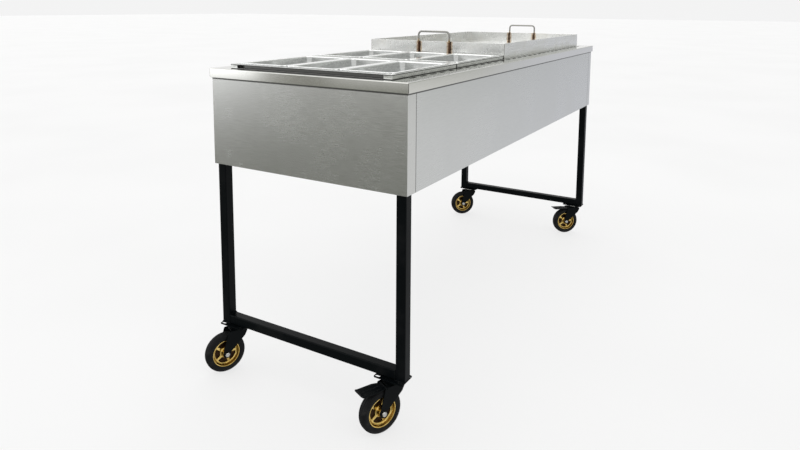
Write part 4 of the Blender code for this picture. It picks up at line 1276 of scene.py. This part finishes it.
def plate_shape(low, high):
    """Top plate with four slotted holes and the kingpin's rivet head below it."""
    outline = rounded_outline(high.x - low.x, high.y - low.y, 0.005, 4)
    length, width, radius = PLATE_SLOT
    slots = [
        cutter_block(
            rounded_outline(length, width, radius, 4, (side_x * PLATE_HOLES[0], side_y * PLATE_HOLES[1])),
            high.z - 2 * PLATE_STEEL, high.z + PLATE_STEEL,
        )
        for side_x in (-1, 1) for side_y in (-1, 1)
    ]
    plate = bmesh.new()
    plate.from_mesh(cut("plate", cutter_block(outline, high.z - PLATE_STEEL, high.z), slots))
    bevel_sharp(plate, PRESSED_EDGE, 2, 50.0)
    top = high.z - PLATE_STEEL / 2
    rivet = upright((
        (SOLID_CORE, low.z), (RIVET_RADIUS - 0.0012, low.z), (RIVET_RADIUS, low.z + 0.0010),
        (RIVET_RADIUS, top), (SOLID_CORE, top),
    ), 32)
    return joined((plate, rivet))


def race_shape(high, race_bottom):
    """Plated bearing race pressed up against the top plate."""
    top = high.z - PLATE_STEEL / 2
    return upright((
        (SOLID_CORE, race_bottom), (RACE_RADIUS - 0.0014, race_bottom),
        (RACE_RADIUS - 0.0001, race_bottom + 0.0008), (RACE_RADIUS, race_bottom + 0.0034),
        (RACE_RADIUS - 0.0014, top), (SOLID_CORE, top),
    ), 64)


def build_casters(materials):
    """Plate, race, fork, wheel and bolt at each corner, with a pedal where the part has one."""
    race_bottom = JOINTS["swivel_near_front"]["pos_m"][2]
    for corner in CORNERS:
        fork_place, wheel_place, reach = caster_frames(corner)
        square = Matrix.Translation(fork_place.translation)
        node = "caster_plate_" + corner
        plate_low, plate_high = local_box(node, square)
        plate = to_mesh(node, plate_shape(plate_low, plate_high))
        show(node + "_pressing", plate, node, materials["paint"], square)
        race = to_mesh(node + "_race", race_shape(plate_high, race_bottom))
        show(node + "_race", race, node, materials["zinc"], square, stands_in=False)

        node = "caster_fork_" + corner
        wheel_height = wheel_place.translation.z
        shape = fork_shape(*local_box(node, fork_place), reach, wheel_height, race_bottom)
        show(node + "_pressing", to_mesh(node, shape), node, materials["paint"],
             fork_place)

        node = "tyre_" + corner
        tyre_low, tyre_high = local_box(node, wheel_place)
        bore = local_box("wheel_hub_" + corner, wheel_place)[1].z + 0.0002
        show(node + "_rubber", to_mesh(node, tyre_shape(tyre_low, tyre_high, bore)), node,
             materials["rubber"], wheel_place)

        node = "wheel_hub_" + corner
        hub_high = local_box(node, wheel_place)[1]
        show(node + "_centre", to_mesh(node, hub_shapes(hub_high.z, hub_high.y)), node,
             materials["gold"], wheel_place)
        # the pocket floors carry painted shade
        show(node + "_pockets", to_mesh(node + "_pockets", pocket_floor(hub_high.z, hub_high.y)), node,
             materials["pocket"], wheel_place, stands_in=False)
        bearing = to_mesh(node + "_bearing", bearing_shape(WHEEL_BEARING_BORE, hub_high.y))
        show(node + "_bearing", bearing, node, materials["bearing"], wheel_place,
             stands_in=False)

        node = "axle_bolt_" + corner
        head_side = 1 if "brake_pedal_" + corner in NODES else -1
        show(node + "_steel", to_mesh(node, bolt_shapes(head_side)), node, materials["zinc"],
             wheel_place)

        node = "brake_pedal_" + corner
        if node in NODES:
            pivot = Vector(JOINTS["brake_" + corner]["pos_m"])
            hinge = Matrix.Translation(pivot) @ fork_place.to_3x3().to_4x4()
            mesh = to_mesh(node, pedal_shape(local_box(node, hinge)[1].x))
            show(node + "_pressing", mesh, node, materials["paint"], hinge)


# ---- floor, light and camera ---------------------------------------------------------------------
def build_floor():
    """Pale floor that glows a little, like a lit sheet."""
    shape = bmesh.new()
    bmesh.ops.create_grid(shape, x_segments=1, y_segments=1, size=FLOOR_HALF)
    floor = add_object("floor", to_mesh("floor", shape))
    material, graph, shader = new_material("pale_floor")
    cloud = graph.noise(graph.place(), 0.7, 2.0)
    graph.feed(
        shader.inputs["Base Color"],
        graph.blend(graph.span(cloud, 0.3, 0.7), (0.16, 0.16, 0.16), (0.18, 0.18, 0.18)),
    )
    shader.inputs["Emission Color"].default_value = (1.0, 1.0, 1.0, 1.0)
    shader.inputs["Emission Strength"].default_value = FLOOR_GLOW
    shader.inputs["Roughness"].default_value = 0.75
    shader.inputs["Specular IOR Level"].default_value = 0.2
    floor.data.materials.append(material)
    floor.visible_glossy = False


def light_patch(graph, angle, lift, patch):
    """How far one patch of the studio covers a direction: 1 inside it, 0 outside."""
    turns, lifts, edge, _ = patch
    masks = []
    for value, (start, end) in ((angle, turns), (lift, lifts)):
        masks.append(graph.span(value, start - edge / 2, start + edge / 2))
        masks.append(graph.span(value, end - edge / 2, end + edge / 2, 1.0, 0.0))
    cover = masks[0]
    for mask in masks[1:]:
        cover = graph.maths("MULTIPLY", cover, mask)
    return cover


def build_world():
    """Even studio light with a window to one side, dark surroundings low behind the camera and a
    dimmer wall along the cart's side."""
    world = bpy.data.worlds.new("studio")
    bpy.context.scene.world = world
    world.use_nodes = True
    graph = Graph(world)
    background = graph.nodes["Background"]
    direction = graph.add("ShaderNodeTexCoord").outputs["Generated"]
    height = graph.axis(direction, 2)
    lift = graph.maths("DEGREES", graph.maths("ARCSINE", height))
    turn = graph.maths("DEGREES", graph.maths("ARCTAN2", graph.axis(direction, 1), graph.axis(direction, 0)))
    # azimuths run on from -100 to 260 degrees, so that no patch is split
    wrapped = graph.maths("WRAP", turn, 260.0, -100.0)
    light = graph.blend(graph.span(height, -0.5, 0.9), SKY_LOW, SKY_HIGH)
    for patch in LIGHT_PATCHES:
        light = graph.blend(light_patch(graph, wrapped, lift, patch), light, patch[-1])
    seen = graph.add("ShaderNodeLightPath").outputs["Is Camera Ray"]
    graph.feed(background.inputs["Color"], graph.blend(seen, light, BACKDROP))
    background.inputs["Strength"].default_value = 1.0


def add_area_light(name, location, aim, size, energy):
    """Rectangular lamp that faces a point."""
    data = bpy.data.lights.new(name, "AREA")
    data.shape = "RECTANGLE"
    data.size, data.size_y = size
    data.energy = energy
    lamp = add_object(name, data)
    lamp.location = location
    lamp.rotation_euler = (Vector(aim) - Vector(location)).to_track_quat("-Z", "Y").to_euler()


def build_lights():
    """Lamps around the cart's middle."""
    low, high = CAD_BOX
    middle = (Vector(low) + Vector(high)) / 2
    for name, offset, size, energy in AREA_LIGHTS:
        add_area_light(name, middle + Vector(offset), middle, size, energy)


def build_camera():
    """Camera at the photo's angle, placed from the deck's near front corner."""
    deck_low, deck_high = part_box("top_deck")
    corner = Vector((deck_low.x, deck_low.y, deck_high.z))
    yaw, pitch = math.radians(CAMERA_HEADING), math.radians(CAMERA_PITCH)
    forward = Vector((
        math.cos(yaw) * math.cos(pitch), math.sin(yaw) * math.cos(pitch), math.sin(pitch),
    ))
    right = Vector((math.sin(yaw), -math.cos(yaw), 0.0))
    up = right.cross(forward)
    turn = Matrix((right, up, -forward)).transposed() @ Matrix.Rotation(
        math.radians(CAMERA_ROLL), 3, "Z")
    data = bpy.data.cameras.new("camera")
    data.lens = CAMERA_LENS
    data.sensor_fit = "HORIZONTAL"
    data.sensor_width = SENSOR_WIDTH
    data.shift_y = CAMERA_SHIFT
    data.clip_end = VIEW_END
    camera = add_object("camera", data)
    camera.matrix_world = Matrix.Translation(corner + Vector(CAMERA_OFFSET)) @ turn.to_4x4()
    bpy.context.scene.camera = camera


def main():
    scene = bpy.context.scene
    scene.view_settings.view_transform = "Standard"
    build_camera()
    build_world()
    build_lights()
    build_floor()
    materials = make_materials()
    build_deck(materials)
    build_panels(materials)
    build_frame(materials)
    build_wells(materials)
    build_tray(materials)
    build_handles(materials)
    build_gas(materials)
    build_knobs(materials)
    build_casters(materials)


main()
